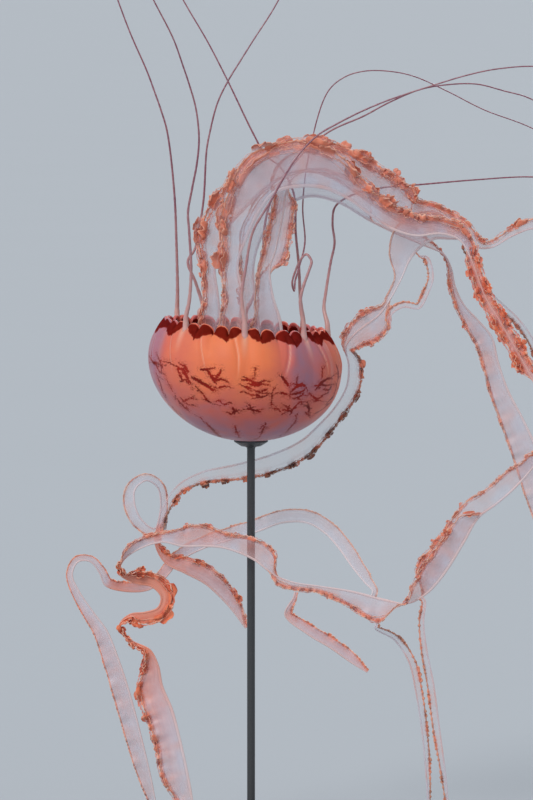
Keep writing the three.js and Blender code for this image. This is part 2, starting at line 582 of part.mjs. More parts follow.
function armLength(arm, index, length) {
  const { reach } = arm[index];
  const steps = armSteps(reach);
  const rows = Array.from({ length: steps + 1 }, (_, i) => {
    const row = armSection(arm[index], lerp(...reach, i / steps), length);
    const parting = (i === 0 && index > 0) - (i === steps && index < arm.length - 1);
    [...row.front, ...row.back].forEach((p) => p.addScaledVector(row.along, (parting * GAP) / 2));
    return row;
  });
  return sheetGeometry(rows);
}

// The first two stations of a branch: off the edge of a length of another arm, square to that edge.
function branchRoot({ arm, part, share, edge }, [width, roll]) {
  const lengths = ARMS[arm];
  const index = lengths.findIndex((length) => length.part === part);
  const parent = armRoute(lengths)[index];
  const steps = armSteps(parent.reach);
  const row = armSection(parent, lerp(...parent.reach, Math.round(share * steps) / steps), lengths[index]);
  const ends = edge === "keel" ? [row.front.at(-1), row.back.at(-1)] : [row.front[0], row.back[0]];
  const outward = edge === "keel" ? row.out.clone().negate() : row.out;
  const middle = ends[0].clone().add(ends[1]).multiplyScalar(0.5);
  return [ROOT_GAP, ROOT_GAP + ROOT_RUN].map((reach) => ({
    point: middle.clone().addScaledVector(outward, reach),
    shape: [width, roll],
  }));
}

// The part of a solid above the manubrium's top.
function aboveManubrium(geometry) {
  const slab = new THREE.BoxGeometry(400, 400, 100).translate(0, 0, MANUBRIUM_TOP_Z + GAP - 50);
  const pieces = solidOf(geometry).subtract(solidOf(slab)).decompose();
  return geometryOfSolid(pieces.reduce((a, b) => (b.volume() > a.volume() ? b : a)));
}

// ---------------------------------------------------------------- stand
function roundedRectangle([width, depth], corner) {
  const [x, y] = [width / 2, depth / 2];
  const shape = new THREE.Shape();
  shape.moveTo(-x + corner, -y);
  shape.lineTo(x - corner, -y);
  shape.absarc(x - corner, -y + corner, corner, -Math.PI / 2, 0);
  shape.lineTo(x, y - corner);
  shape.absarc(x - corner, y - corner, corner, 0, Math.PI / 2);
  shape.lineTo(-x + corner, y);
  shape.absarc(-x + corner, y - corner, corner, Math.PI / 2, Math.PI);
  shape.lineTo(-x, -y + corner);
  shape.absarc(-x + corner, -y + corner, corner, Math.PI, 1.5 * Math.PI);
  return shape;
}

function standBase() {
  const inset = BASE_SIZE.map((size) => size - 2 * BASE_BEVEL);
  return new THREE.ExtrudeGeometry(roundedRectangle(inset, BASE_CORNER - BASE_BEVEL), {
    depth: BASE_THICKNESS - 2 * BASE_BEVEL,
    bevelThickness: BASE_BEVEL,
    bevelSize: BASE_BEVEL,
    bevelSegments: 1,
    curveSegments: 4,
  }).translate(0, 0, BASE_BEVEL);
}

const cradleBottom = BELL_APEX_Z - GAP - CRADLE_THICKNESS;

function standRod() {
  const [from, to] = [BASE_THICKNESS + GAP, cradleBottom + ROD_SINK];
  return new THREE.CylinderGeometry(ROD_RADIUS, ROD_RADIUS, to - from, 16)
    .rotateX(Math.PI / 2)
    .translate(BELL_LEAN, 0, (from + to) / 2);
}

// A shallow dish under the apex, hollowed to the bell's own curve.
function standCradle() {
  const height = (radius) => {
    const reach = BELL_WIDEST_Z - BELL_APEX_Z;
    return BELL_WIDEST_Z - reach * Math.sqrt(1 - (radius / BELL_RADIUS) ** 2) - GAP;
  };
  const profile = [
    [0, cradleBottom],
    [ROD_RADIUS * 1.6, cradleBottom],
    [CRADLE_RADIUS, height(CRADLE_RADIUS) - 2.2],
    [CRADLE_RADIUS, height(CRADLE_RADIUS)],
    [CRADLE_RADIUS * 0.6, height(CRADLE_RADIUS * 0.6)],
    [0, height(0)],
  ].map(([radius, z]) => new THREE.Vector2(radius, z));
  return new THREE.LatheGeometry(profile, 32).rotateX(Math.PI / 2).translate(BELL_LEAN, 0, 0);
}

// ---------------------------------------------------------------- the animal and its stand
const flesh = new THREE.MeshStandardMaterial({ color: "#e39a78", roughness: 0.35 });
const membrane = new THREE.MeshStandardMaterial({ color: "#d7b4c0", roughness: 0.35 });
const tentacleSkin = new THREE.MeshStandardMaterial({ color: "#8a3a44", roughness: 0.4 });
const steel = new THREE.MeshStandardMaterial({ color: "#3b3d40", roughness: 0.45, metalness: 0.9 });

const jellyfish = new THREE.Group();

function add(name, geometry, material) {
  const mesh = new THREE.Mesh(geometry, material);
  mesh.name = name;
  jellyfish.add(mesh);
}

add("bell", fused([bellShell(), ...Object.values(TENTACLES).map(({ angle }) => bulb(angle))]), flesh);
add("manubrium", manubrium(), flesh);

for (const [place, tentacle] of Object.entries(TENTACLES)) {
  const curve = tentacleRoute(tentacle);
  const cuts = PARTINGS[tentacle.lengths];
  cuts.slice(1).forEach((to, i) => {
    add(`tentacle_${place}_${i + 1}`, tentacleLength(curve, cuts[i], to, tentacle.step ?? TENTACLE_STEP), tentacleSkin);
  });
}

for (const [name, lengths] of Object.entries(ARMS)) {
  const arm = armRoute(lengths);
  lengths.forEach((length, i) => {
    const body = armLength(arm, i, length);
    add(`oral_arm_${name}_${length.part}`, i === 0 ? aboveManubrium(body) : body, membrane);
  });
}

for (const [name, { from, root, lengths }] of Object.entries(BRANCHES)) {
  const arm = armRoute(lengths, branchRoot(from, root));
  lengths.forEach((length, i) => add(`oral_arm_${name}_${length.part}`, armLength(arm, i, length), membrane));
}

add("stand_base", standBase(), steel);
add("stand_rod", fused([standRod(), standCradle()]), steel);

export default jellyfish;
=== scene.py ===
"""Sea nettle jellyfish, swimming bell down, with its oral arms and tentacles, on a rod stand.

Laid out as an add-on and run as a script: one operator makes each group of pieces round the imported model, and
the panel lists them. Lengths are in millimetres unless a name says otherwise, and MM turns them into metres.
"""

import math

import bpy
import numpy as np
from bpy.props import FloatProperty, FloatVectorProperty, IntProperty, PointerProperty
from bpy.types import Operator, Panel, PropertyGroup
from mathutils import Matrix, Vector


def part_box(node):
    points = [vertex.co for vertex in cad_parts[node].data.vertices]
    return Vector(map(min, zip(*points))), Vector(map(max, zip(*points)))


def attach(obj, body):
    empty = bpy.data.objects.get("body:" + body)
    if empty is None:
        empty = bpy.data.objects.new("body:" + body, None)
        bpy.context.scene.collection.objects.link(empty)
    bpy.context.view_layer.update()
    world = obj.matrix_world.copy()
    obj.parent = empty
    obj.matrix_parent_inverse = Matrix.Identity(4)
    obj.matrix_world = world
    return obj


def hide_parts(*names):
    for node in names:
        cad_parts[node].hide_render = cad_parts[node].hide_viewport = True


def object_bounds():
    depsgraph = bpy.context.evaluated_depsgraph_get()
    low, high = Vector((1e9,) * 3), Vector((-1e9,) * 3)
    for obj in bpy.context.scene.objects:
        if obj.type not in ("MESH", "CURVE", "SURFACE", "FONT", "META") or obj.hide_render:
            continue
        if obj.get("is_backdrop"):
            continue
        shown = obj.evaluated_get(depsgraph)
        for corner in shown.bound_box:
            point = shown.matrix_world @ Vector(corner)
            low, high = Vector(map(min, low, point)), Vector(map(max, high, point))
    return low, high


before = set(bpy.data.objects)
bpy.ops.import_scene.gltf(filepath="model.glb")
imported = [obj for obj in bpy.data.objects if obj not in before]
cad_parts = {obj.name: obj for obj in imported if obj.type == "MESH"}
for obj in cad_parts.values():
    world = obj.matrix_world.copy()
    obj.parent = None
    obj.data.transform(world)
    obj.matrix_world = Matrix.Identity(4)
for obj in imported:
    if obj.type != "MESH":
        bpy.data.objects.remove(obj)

bl_info = {
    "name": "Sea nettle on a stand",
    "version": (1, 0, 0),
    "blender": (4, 5, 0),
    "location": "View3D > Sidebar > Sea nettle",
    "description": "Bell, tentacles, oral arms, stand and stage of a sea nettle model",
    "category": "Add Mesh",
}

CAD_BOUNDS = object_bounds()
MM = 0.001

# ---------------------------------------------------------------- sizes shared by several pieces
BELL_RADIUS = 96.5
BELL_APEX_Z = 412
BELL_LEAN = 6
BELL_WIDEST_Z = 491
BELL_MOUTH_REACH = 68
BELL_MOUTH_ANGLE = math.radians(35)
BELL_WALL_APEX = 15
BELL_WALL_MARGIN = 2.6
BELL_FLOOR_Z = 433
MARGIN_TILT = -0.078
LAPPETS = 32
LAPPET_HEIGHT = 8
FURROWS = 16
FURROW_DEPTH = 2.4
ROOT_RADIUS = 82.4
BULB_RISE = 4

ROOT_GAP = 0.35
ROOT_RUN = 5
RUFFLE_HEIGHT = 3.2
RUFFLE_LENGTH = 27
KEEL_HALF = 0.7
MIN_WING = 2
SIGHT_SLOPE = 0.077  # a route's point further back sits lower by this slope

# ---------------------------------------------------------------- routes
# Each tentacle: the angle of its root from the front towards +X, its number of lengths, and its route.
TENTACLES = {
    "front": (0, 2, [(-3, -82, 556), (1, -80, 583), (8, -78, 619), (24, -76, 647), (52, -74, 694), (71, -73, 714),
        (91, -73, 726), (117, -74, 739), (144, -76, 750), (181, -80, 762), (218, -85, 773), (248, -89, 779),
        (288, -94, 781), (330, -98, 772), (368, -100, 750)]),
    "front_right": (45, 3, [(55, -60, 552), (58, -59, 566), (64, -57, 583), (66, -55, 591), (61, -52, 598),
        (55, -49, 592), (50, -45, 581), (47, -40, 570), (49, -32, 562), (50, -22, 572), (54, -8, 586),
        (60, 22, 612), (58, 52, 650), (64, 58, 700), (83, 60, 764), (100, 60, 779), (120, 60, 785),
        (145, 62, 785), (170, 64, 780), (204, 67, 765), (240, 70, 747), (288, 74, 729), (340, 78, 700)]),
    "right": (90, 2, [(79, 6, 545), (81, 16, 562), (86, 38, 592), (90, 50, 612), (88, 56, 632), (91, 57, 649),
        (112, 58, 662), (140, 60, 668), (176, 62, 671), (233, 66, 676), (288, 70, 679), (325, 74, 675),
        (360, 78, 660)]),
    "back_right": (135, 2, [(56, 62, 552), (54, 64, 590), (51, 66, 622), (49, 68, 662), (36, 68, 688),
        (20, 68, 702), (8, 70, 723), (-18, 76, 777), (-38, 82, 816), (-59, 88, 852), (-92, 96, 912)]),
    "back": (180, 2, [(10, 84, 562), (14, 83, 590), (18, 82, 604), (19, 82, 625), (26, 82, 655), (52, 82, 696),
        (83, 81, 724), (120, 80, 741), (144, 82, 754), (174, 86, 767), (196, 90, 772), (233, 96, 774),
        (263, 100, 767), (288, 104, 760), (340, 108, 728)]),
    "back_left": (213.75, 2, [(-43, 71, 546), (-50, 72, 572), (-58, 74, 594), (-51, 75, 606), (-46, 76, 630),
        (-42, 77, 657), (-39, 78, 706), (-36, 79, 723), (-28, 81, 754), (-17, 83, 777), (-6, 85, 795),
        (9, 88, 819), (30, 92, 852), (60, 98, 912)]),
    "left": (236.25, 2, [(-68, 42, 562), (-69, 39, 612), (-71, 35, 662), (-78, 30, 723), (-84, 30, 744),
        (-91, 30, 764), (-98, 31, 783), (-115, 34, 822), (-130, 38, 862)]),
    "front_left": (315, 2, [(-55, -60, 551), (-53, -61, 582), (-55, -62, 622), (-56, -63, 639), (-52, -64, 662),
        (-47, -66, 688), (-45, -68, 712), (-48, -70, 741), (-54, -73, 763), (-61, -76, 784), (-70, -80, 809),
        (-92, -90, 852), (-118, -100, 908)]),
}
# Each length of an arm: its name, its kind of section, its style, and the stations x, y, z, width and roll along its
# keel. Roll 0 is to the left of the way the keel runs as seen from the front, and 90 is towards the front. The style
# is the depth of the frilled edge, how warm its colour is, and how dense the membrane is, or two such styles that a
# length changes between. A membrane thinner than a quarter has a dark rope for its edge.
ARMS = {
    "front": [
        ("base", "folded", (5, 0.7, 0.28),
            [(4, -24, 488, 36, 0), (1, -25, 530, 29, 0), (-2, -24, 560, 22, 0), (-7, -22, 588, 19, 0)]),
        ("arch_rise", "folded", (12, 0.8, 0.22),
            [(-7, -22, 588, 19, 0), (3, -22, 618, 34, 0), (16, -23, 644, 43, 0), (30, -24, 660, 50, 0),
             (55, -25, 666, 52, 0)]),
        ("arch_fall", "folded", (12, 0.85, 0.22),
            [(55, -25, 666, 52, 0), (80, -25, 664, 44, 0), (102, -25, 654, 30, 0), (123, -25, 639, 26, 0),
             (146, -25, 624, 27, 0)]),
        ("flap", "folded", (9, 0.8, 0.5),
            [(146, -25, 624, 27, 0), (170, -25, 617, 24, 0), (195, -26, 619, 20, 0), (213, -26, 613, 16, 0),
             (223, -27, 598, 13, 0)]),
        ("drop", "spread", (9, 1.0, 0.74),
            [(223, -27, 598, 9, 90), (231, -29, 577, 9, 90), (239, -32, 556, 9, 90), (252, -36, 534, 10, 90),
             (267, -40, 508, 10, 90), (283, -44, 478, 10, 90)]),
        ("bend", "single", ((6, 1, 0.7), (5, 0.8, 0.22)),
            [(283, -44, 478, 13, 0), (297, -50, 446, 12, 20), (302, -56, 412, 14, 90),
             (287, -58, 388, 16, 150), (268, -56, 366, 20, 180), (250, -54, 350, 20, 180),
             (232, -52, 336, 22, 180)]),
        ("swag", "folded", ((6, 0.85, 0.3), (9, 0.85, 0.45)),
            [(232, -52, 336, 22, 180), (218, -50, 312, 26, 180), (205, -47, 290, 29, 180),
             (194, -44, 274, 30, 180), (181, -41, 260, 26, 170)]),
        ("sway", "single", (7.5, 0.8, 0.42),
            [(181, -41, 260, 22, 165), (162, -38, 250, 16, 110), (138, -35, 254, 26, 20),
             (106, -32, 262, 18, 0), (74, -29, 267, 9, 0), (48, -28, 271, 10, 10), (28, -27, 279, 12, 60)]),
        ("knot", "single", ((6.5, 0.85, 0.45), (5, 0.85, 0.65)),
            [(28, -27, 279, 18, 150), (8, -26, 294, 23, 170), (-20, -26, 305, 17, 180),
             (-40, -26, 307, 23, 180), (-62, -26, 307, 22, 180), (-82, -26, 311, 12, 180),
             (-104, -26, 305, 12, 160), (-122, -24, 292, 12, 100)]),
        ("curl", "single", (8, 1.0, 0.9),
            [(-122, -24, 292, 11, 100), (-125, -21, 279, 12, 60), (-110, -18, 270, 15, 15),
             (-93, -15, 266, 16, 0), (-84, -13, 256, 15, 0), (-87, -11, 245, 14, 0), (-100, -9, 240, 15, 0),
             (-115, -8, 238, 11, 25), (-125, -6, 228, 8, 80), (-114, -6, 212, 8, 110),
             (-95, -8, 202, 11, 145)]),
        ("tail", "single", ((9, 1.0, 0.8), (7, 0.7, 0.45)),
            [(-95, -8, 202, 11, 150), (-87, -9, 186, 19, 175), (-83, -10, 166, 28, 180),
             (-73, -14, 142, 30, 180), (-65, -18, 112, 28, 180), (-57, -22, 76, 28, 180),
             (-49, -26, 30, 7, 180)]),
    ],
    "left": [
        ("base", "folded", (5.4, 0.75, 0.28),
            [(-21, 2, 488, 26, 0), (-24, 2, 530, 24, 0), (-27, 2, 560, 17, 0), (-30, 3, 585, 15, 0)]),
        ("arch_rise", "folded", (11, 0.85, 0.2),
            [(-30, 3, 585, 15, 0), (-27, 4, 604, 26, 0), (-17, 5, 626, 32, 0), (0, 6, 645, 37, 0),
             (20, 6, 664, 39, 0), (42, 6, 678, 38, 0), (65, 6, 682, 37, 0)]),
        ("arch_fall", "folded", (10, 0.85, 0.2),
            [(65, 6, 682, 37, 0), (86, 6, 676, 38, 0), (106, 6, 664, 40, 0), (126, 6, 650, 41, 0),
             (146, 5, 637, 40, 0), (164, 4, 628, 32, 0)]),
        ("ledge", "single", ((8, 0.8, 0.45), (4.5, 0.95, 0.12)),
            [(164, 4, 628, 30, 0), (188, 2, 626, 26, 0), (212, 0, 620, 18, 0), (232, 0, 606, 12, 0),
             (246, 2, 606, 9, 0), (268, 4, 618, 10, 0), (290, 6, 625, 12, 0), (318, 8, 616, 10, 0),
             (338, 10, 594, 5, 0)]),
    ],
    "right": [
        ("base", "folded", (4, 0.4, 0.32),
            [(37, 8, 488, 34, 0), (36, 8, 530, 33, 0), (28, 8, 558, 20, 0), (25, 8, 585, 13, 0)]),
        ("ruff", "spread", (8, 0.75, 0.56),
            [(25, 8, 585, 13, 90), (30, 10, 602, 15, 90), (34, 14, 620, 15, 90), (38, 20, 640, 14, 90),
             (41, 26, 660, 14, 90)]),
        ("arch", "single", ((3, 0.5, 0.2), (10, 0.85, 0.2)),
            [(41, 26, 660, 18, 0), (50, 29, 678, 22, 0), (74, 30, 685, 26, 0), (102, 30, 675, 30, 0),
             (132, 30, 656, 30, 0), (166, 29, 638, 26, 0)]),
        ("fold", "single", (7, 0.8, 0.5),
            [(166, 29, 638, 24, 0), (194, 28, 636, 14, 0), (216, 25, 627, 8, 60), (218, 20, 616, 9, 120),
             (206, 16, 615, 18, 170), (190, 14, 615, 30, 180)]),
        ("slant", "single", (2.5, 0.3, 0.45),
            [(190, 14, 615, 30, 180), (175, 12, 606, 33, 180), (165, 12, 594, 25, 180),
             (156, 12, 574, 8, 180), (142, 14, 549, 6, 180)]),
        ("shoulder", "uneven", (8, 0.8, 0.5),
            [(142, 14, 549, 5, 90), (133, 18, 538, 13, 90), (121, 25, 529, 15, 90), (108, 30, 518, 12, 90),
             (101, 33, 506, 9, 90)]),
        ("side", "single", (5, 0.95, 0.12),
            [(101, 33, 506, 8, 0), (104, 36, 488, 15, 0), (102, 38, 467, 15, 0), (91, 40, 447, 14, 0),
             (74, 40, 428, 16, 0), (56, 38, 412, 19, 0)]),
        ("trail", "single", (4.5, 1, 0.09),
            [(56, 38, 412, 19, 0), (26, 34, 398, 20, 0), (-10, 30, 388, 17, 0), (-45, 26, 380, 13, 0),
             (-69, 22, 366, 10, 0), (-84, 18, 342, 9, 0), (-91, 16, 324, 9, 0)]),
        ("loop", "single", (2.5, 0.6, 0.32),
            [(-91, 16, 324, 9, 0), (-104, 15, 333, 11, 0), (-111, 15, 350, 12, 0), (-110, 17, 364, 10, 0),
             (-99, 21, 372, 8, 0), (-88, 26, 365, 8, 0), (-85, 30, 349, 8, 0), (-87, 33, 332, 8, 0)]),
        ("tail", "single", ((6, 1, 0.85), (5, 0.95, 0.6)),
            [(-87, 33, 332, 8, 0), (-91, 36, 310, 8, 30), (-81, 38, 289, 13, 10), (-60, 36, 278, 18, 0),
             (-41, 34, 268, 19, 0), (-25, 32, 254, 17, 0), (-11, 32, 238, 12, 0), (0, 32, 222, 4, 0)]),
    ],
    "back": [
        ("base", "folded", (5, 0.5, 0.28),
            [(17, 31, 488, 26, 0), (14, 35, 530, 22, 0), (10, 39, 560, 18, 0), (9, 42, 590, 16, 0)]),
        ("arch", "folded", (2.5, 0.2, 0.16),
            [(9, 42, 590, 16, 0), (18, 43, 620, 24, 0), (36, 44, 644, 28, 0), (62, 44, 658, 30, 0),
             (92, 44, 653, 30, 0), (122, 45, 636, 28, 0)]),
        ("ledge", "single", (5, 0.8, 0.4),
            [(122, 45, 636, 26, 0), (150, 46, 622, 20, 0), (178, 47, 610, 12, -30), (200, 49, 600, 8, -90),
             (207, 51, 588, 6, -150)]),
        ("drape", "single", ((6, 1, 0.6), (1.5, 0.3, 0.36)),
            [(207, 51, 588, 6, -150), (212, 53, 567, 8, -180), (221, 56, 549, 11, -180),
             (235, 60, 534, 17, -180), (249, 64, 517, 20, -180), (256, 68, 491, 18, -180),
             (266, 70, 463, 20, -180), (280, 70, 436, 24, -180), (295, 70, 404, 27, -180),
             (308, 70, 364, 27, -180), (316, 70, 314, 18, -180), (318, 70, 262, 4, -180)]),
    ],
}

# Strands that branch off an arm: the arm, the length, the share of that length and the edge that each grows from,
# the width and roll of its root, and its lengths.
BRANCHES = {
    "lip": (("front", "sway", 0.37, "keel"), (6, 180), [
        ("swing", "single", (3, 0.3, 0.4),
            [(120, -22, 270, 10, 180), (107, 0, 286, 13, 180), (94, 22, 304, 14, 180), (80, 38, 319, 14, 180),
             (62, 44, 329, 14, 180), (38, 46, 329, 14, 180), (12, 47, 320, 14, 180)]),
        ("slope", "single", ((3, 0.4, 0.4), (4, 0.9, 0.85)),
            [(12, 47, 320, 14, 180), (-14, 49, 312, 14, 180), (-42, 50, 303, 13, 180),
             (-66, 50, 290, 12, 180), (-82, 47, 272, 11, 180), (-98, 42, 261, 11, 180),
             (-122, 36, 260, 11, 180), (-141, 32, 266, 10, 180)]),
        ("loop", "single", (2.5, 0.9, 0.5),
            [(-141, 32, 266, 10, 180), (-147, 30, 279, 8, 180), (-156, 28, 290, 7, 180),
             (-168, 26, 290, 7, 180), (-174, 25, 277, 7, 180), (-167, 24, 260, 9, 180),
             (-152, 23, 238, 12, 180)]),
        ("tail", "single", ((3, 0.7, 0.55), (3, 0.5, 0.5)),
            [(-152, 23, 238, 12, 180), (-139, 22, 220, 15, 180), (-127, 21, 190, 17, 180),
             (-116, 20, 156, 18, 180), (-106, 19, 118, 17, 180), (-96, 18, 76, 14, 180),
             (-87, 17, 30, 4, 180)]),
    ]),
    "shred": (("front", "sway", 0.84, "frill"), (5, 0), [
        ("end", "single", (4, 0.95, 0.66),
            [(40, -25, 238, 9, 0), (62, -25, 219, 12, 0), (85, -25, 205, 12, 0), (105, -25, 191, 11, 0),
             (122, -25, 180, 4, 0)]),
    ]),
    "strand": (("front", "sway", 0.3, "frill"), (5, 0), [
        ("inner", "single", (3.5, 1, 0.16),
            [(150, -22, 212, 7, 0), (164, -18, 190, 8, 0), (171, -16, 160, 8, 0), (177, -15, 122, 7, 0),
             (181, -14, 82, 6, 0), (184, -14, 40, 3, 0)]),
    ]),
    "streamer": (("front", "sway", 0.03, "keel"), (5, 180), [
        ("outer", "single", (3.5, 1, 0.17),
            [(178, -42, 232, 6, 180), (181, -42, 205, 7, 180), (188, -42, 170, 8, 180),
             (194, -42, 125, 8, 180), (200, -42, 80, 6, 180), (204, -42, 34, 3, 180)]),
    ]),
    "fringe": (("right", "slant", 0.28, "keel"), (3, 90), [
        ("fall", "single", (4, 0.9, 0.18),
            [(183, 3, 596, 6, 180), (188, 0, 576, 7, 180), (182, -3, 558, 7, 180), (174, -5, 545, 7, 180),
             (158, -6, 546, 7, 180), (146, -6, 538, 7, 180), (146, -6, 524, 3, 180)]),
    ]),
    "tassel": (("left", "ledge", 0.33, "keel"), (5, 180), [
        ("fall", "single", (5, 0.9, 0.12),
            [(233, 0, 588, 7, 180), (243, 0, 564, 8, 180), (257, 0, 550, 8, 180), (272, 0, 536, 8, 180),
             (288, 0, 514, 8, 180), (299, 0, 480, 6, 180), (304, 0, 440, 3, 180)]),
    ]),
}


# ---------------------------------------------------------------- settings
class JellyBellSettings(PropertyGroup):
    peach: FloatVectorProperty(
        name="Peach", description="Warm flesh over the stomach", subtype="COLOR", size=3, default=(0.87, 0.235, 0.10))
    lavender: FloatVectorProperty(
        name="Lavender", description="Thin flesh between the warm parts", subtype="COLOR", size=3,
        default=(0.40, 0.20, 0.27))
    rose: FloatVectorProperty(
        name="Rose", description="Flesh of the lower half", subtype="COLOR", size=3, default=(0.66, 0.16, 0.125))
    maroon: FloatVectorProperty(
        name="Maroon", description="Lappet patches", subtype="COLOR", size=3, default=(0.13, 0.004, 0.002))
    streak: FloatVectorProperty(
        name="Streak", description="Streaks round the bell", subtype="COLOR", size=3, default=(0.34, 0.013, 0.007))
    lappet_puff: FloatProperty(
        name="Lappet puff", description="How far a lappet swells outwards, in millimetres", default=1.3, min=0)
    rib_height: FloatProperty(
        name="Rib height", description="Ridge below each tentacle, in millimetres", default=1.9, min=0)


class JellyTentacleSettings(PropertyGroup):
    tip_radius: FloatProperty(
        name="Tip radius", description="Radius of a tentacle far from its root, in millimetres", default=0.55)
    root_colour: FloatVectorProperty(
        name="Root colour", description="Pale flesh at the root", subtype="COLOR", size=3, default=(0.66, 0.38, 0.34))
    far_colour: FloatVectorProperty(
        name="Far colour", description="Maroon along the rest", subtype="COLOR", size=3, default=(0.22, 0.065, 0.10))


class JellyArmSettings(PropertyGroup):
    row_step: FloatProperty(
        name="Row step", description="Length between two rows of an arm's mesh, in millimetres", default=0.84, min=0.4)
    veil: FloatVectorProperty(
        name="Veil", description="Thin membrane", subtype="COLOR", size=3, default=(0.60, 0.60, 0.74))
    keel: FloatVectorProperty(
        name="Keel", description="Smooth band along the fold", subtype="COLOR", size=3, default=(0.88, 0.82, 0.84))
    frill: FloatVectorProperty(
        name="Frill", description="Ruffled edges", subtype="COLOR", size=3, default=(0.91, 0.24, 0.115))
    # Frill shade is a painted shade: a darker copy of the frill colour that stands for folds in shadow.
    frill_shade: FloatVectorProperty(
        name="Frill shade", description="Deep folds and old edges", subtype="COLOR", size=3, default=(0.64, 0.105, 0.055))


class JellyStandSettings(PropertyGroup):
    corner_segments: IntProperty(name="Corner segments", description="Steps round a corner of the base", default=10)
    paint: FloatVectorProperty(
        name="Paint", description="Satin paint on the steel", subtype="COLOR", size=3, default=(0.035, 0.037, 0.04))


class JellyStageSettings(PropertyGroup):
    floor_colour: FloatVectorProperty(
        name="Floor", description="Plain pale floor", subtype="COLOR", size=3, default=(0.44, 0.48, 0.52))
    camera_distance: FloatProperty(
        name="Camera distance", description="From the camera to the model", default=6.0, unit="LENGTH")


# ---------------------------------------------------------------- curves
def catmull_span(p0, p1, p2, p3, t, start_slope, end_slope):
    """Cubic from p1 to p2 with these slopes, at the shares t."""
    t = t[:, None]
    return (
        p1
        + start_slope * t
        + (3 * (p2 - p1) - 2 * start_slope - end_slope) * t**2
        + (2 * (p1 - p2) + start_slope + end_slope) * t**3
    )


def smooth_route(points, steps=24):
    """A centripetal curve through the points, with this many samples to each span, and each sample's station."""
    points = np.array(points, float)
    framed = np.vstack([2 * points[0] - points[1], points, 2 * points[-1] - points[-2]])
    shares = np.arange(steps) / steps
    spans = []
    for p0, p1, p2, p3 in zip(framed, framed[1:], framed[2:], framed[3:]):
        d0, d1, d2 = (max(float(np.linalg.norm(b - a)) ** 0.5, 1e-4) for a, b in ((p0, p1), (p1, p2), (p2, p3)))
        start = ((p1 - p0) / d0 - (p2 - p0) / (d0 + d1) + (p2 - p1) / d1) * d1
        end = ((p2 - p1) / d1 - (p3 - p1) / (d1 + d2) + (p3 - p2) / d2) * d1
        spans.append(catmull_span(p0, p1, p2, p3, shares, start, end))
    stations = np.arange(len(spans) * steps + 1) / steps
    return np.vstack(spans + [points[-1:]]), stations


def smooth_values(values, at):
    """Uniform cubic interpolation of the rows of values, at these stations."""
    values = np.array(values, float)
    framed = np.vstack([2 * values[0] - values[1], values, 2 * values[-1] - values[-2]])
    span = np.clip(np.floor(at).astype(int), 0, len(values) - 2)
    t = (at - span)[:, None]
    p0, p1, p2, p3 = (framed[span + k] for k in range(4))
    start, end = (p2 - p0) / 2, (p3 - p1) / 2
    return (
        p1 + start * t + (3 * (p2 - p1) - 2 * start - end) * t**2 + (2 * (p1 - p2) + start + end) * t**3
    )


def lengths_along(points):
    return np.concatenate([[0], np.cumsum(np.linalg.norm(np.diff(points, axis=0), axis=1))])


def directions_along(points):
    slopes = np.gradient(points, axis=0)
    return slopes / np.linalg.norm(slopes, axis=1, keepdims=True)


def blurred(values, reach):
    """Values smoothed along their rows by a bell of this reach, in rows."""
    if reach <= 0:
        return values
    offsets = np.arange(-3 * reach, 3 * reach + 1)
    weights = np.exp(-((offsets / reach) ** 2) / 2)
    weights /= weights.sum()
    padded = np.concatenate([np.repeat(values[:1], 3 * reach, 0), values, np.repeat(values[-1:], 3 * reach, 0)])
    columns = padded.reshape(len(padded), -1).T
    return np.array([np.convolve(c, weights, "valid") for c in columns]).T.reshape(values.shape)


def unit(vectors):
    return vectors / np.maximum(np.linalg.norm(vectors, axis=-1, keepdims=True), 1e-9)


def soft_step(low, high, values):
    t = np.clip((values - low) / (high - low), 0, 1)
    return t * t * (3 - 2 * t)


def wander(along, length, seed, waves=5):
    """A smooth wave of about this length that doesn't repeat, between about -1 and 1."""
    draw = np.random.default_rng(seed)
    total = np.zeros_like(along, dtype=float)
    for _ in range(waves):
        own = length * draw.uniform(0.62, 1.6)
        total += draw.uniform(0.6, 1) * np.sin(2 * np.pi * along / own + draw.uniform(0, 2 * np.pi))
    return total / waves**0.5


def placed(x, y, z):
    return (x, y, z - SIGHT_SLOPE * y)


# ---------------------------------------------------------------- meshes
def plain_grid(name, rows, columns):
    """A flat grid of this many rows and columns of vertices, and the row and column of each vertex."""
    bpy.ops.object.select_all(action="DESELECT")
    bpy.ops.mesh.primitive_grid_add(x_subdivisions=columns - 1, y_subdivisions=rows - 1, size=2, calc_uvs=True)
    piece = bpy.context.object
    piece.name = piece.data.name = name
    corners = np.empty(len(piece.data.vertices) * 3)
    piece.data.vertices.foreach_get("co", corners)
    corners = corners.reshape(-1, 3)
    column = np.rint((corners[:, 0] + 1) / 2 * (columns - 1)).astype(int)
    row = np.rint((corners[:, 1] + 1) / 2 * (rows - 1)).astype(int)
    return piece, row, column


def store(piece, name, values):
    attribute = piece.data.attributes.new(name, "FLOAT", "POINT")
    attribute.data.foreach_set("value", np.ascontiguousarray(values, dtype=np.float32))


def shaped_grid(name, points, across, along, **attributes):
    """A grid moved onto points[row, column], in millimetres. The UV map holds across and along at each vertex."""
    rows, columns = points.shape[:2]
    piece, row, column = plain_grid(name, rows, columns)
    mesh = piece.data
    mesh.vertices.foreach_set("co", (points[row, column] * MM).ravel())
    corner = np.empty(len(mesh.loops), dtype=np.int32)
    mesh.loops.foreach_get("vertex_index", corner)
    places = np.stack([across[row, column], along[row, column]], 1)[corner]
    mesh.uv_layers.active.data.foreach_set("uv", places.ravel().astype(np.float32))
    mesh.uv_layers.active.name = "Surface"
    for key, values in attributes.items():
        store(piece, key, values[row, column])
    mesh.update()
    return piece


def only(piece):
    bpy.ops.object.select_all(action="DESELECT")
    piece.select_set(True)
    bpy.context.view_layer.objects.active = piece


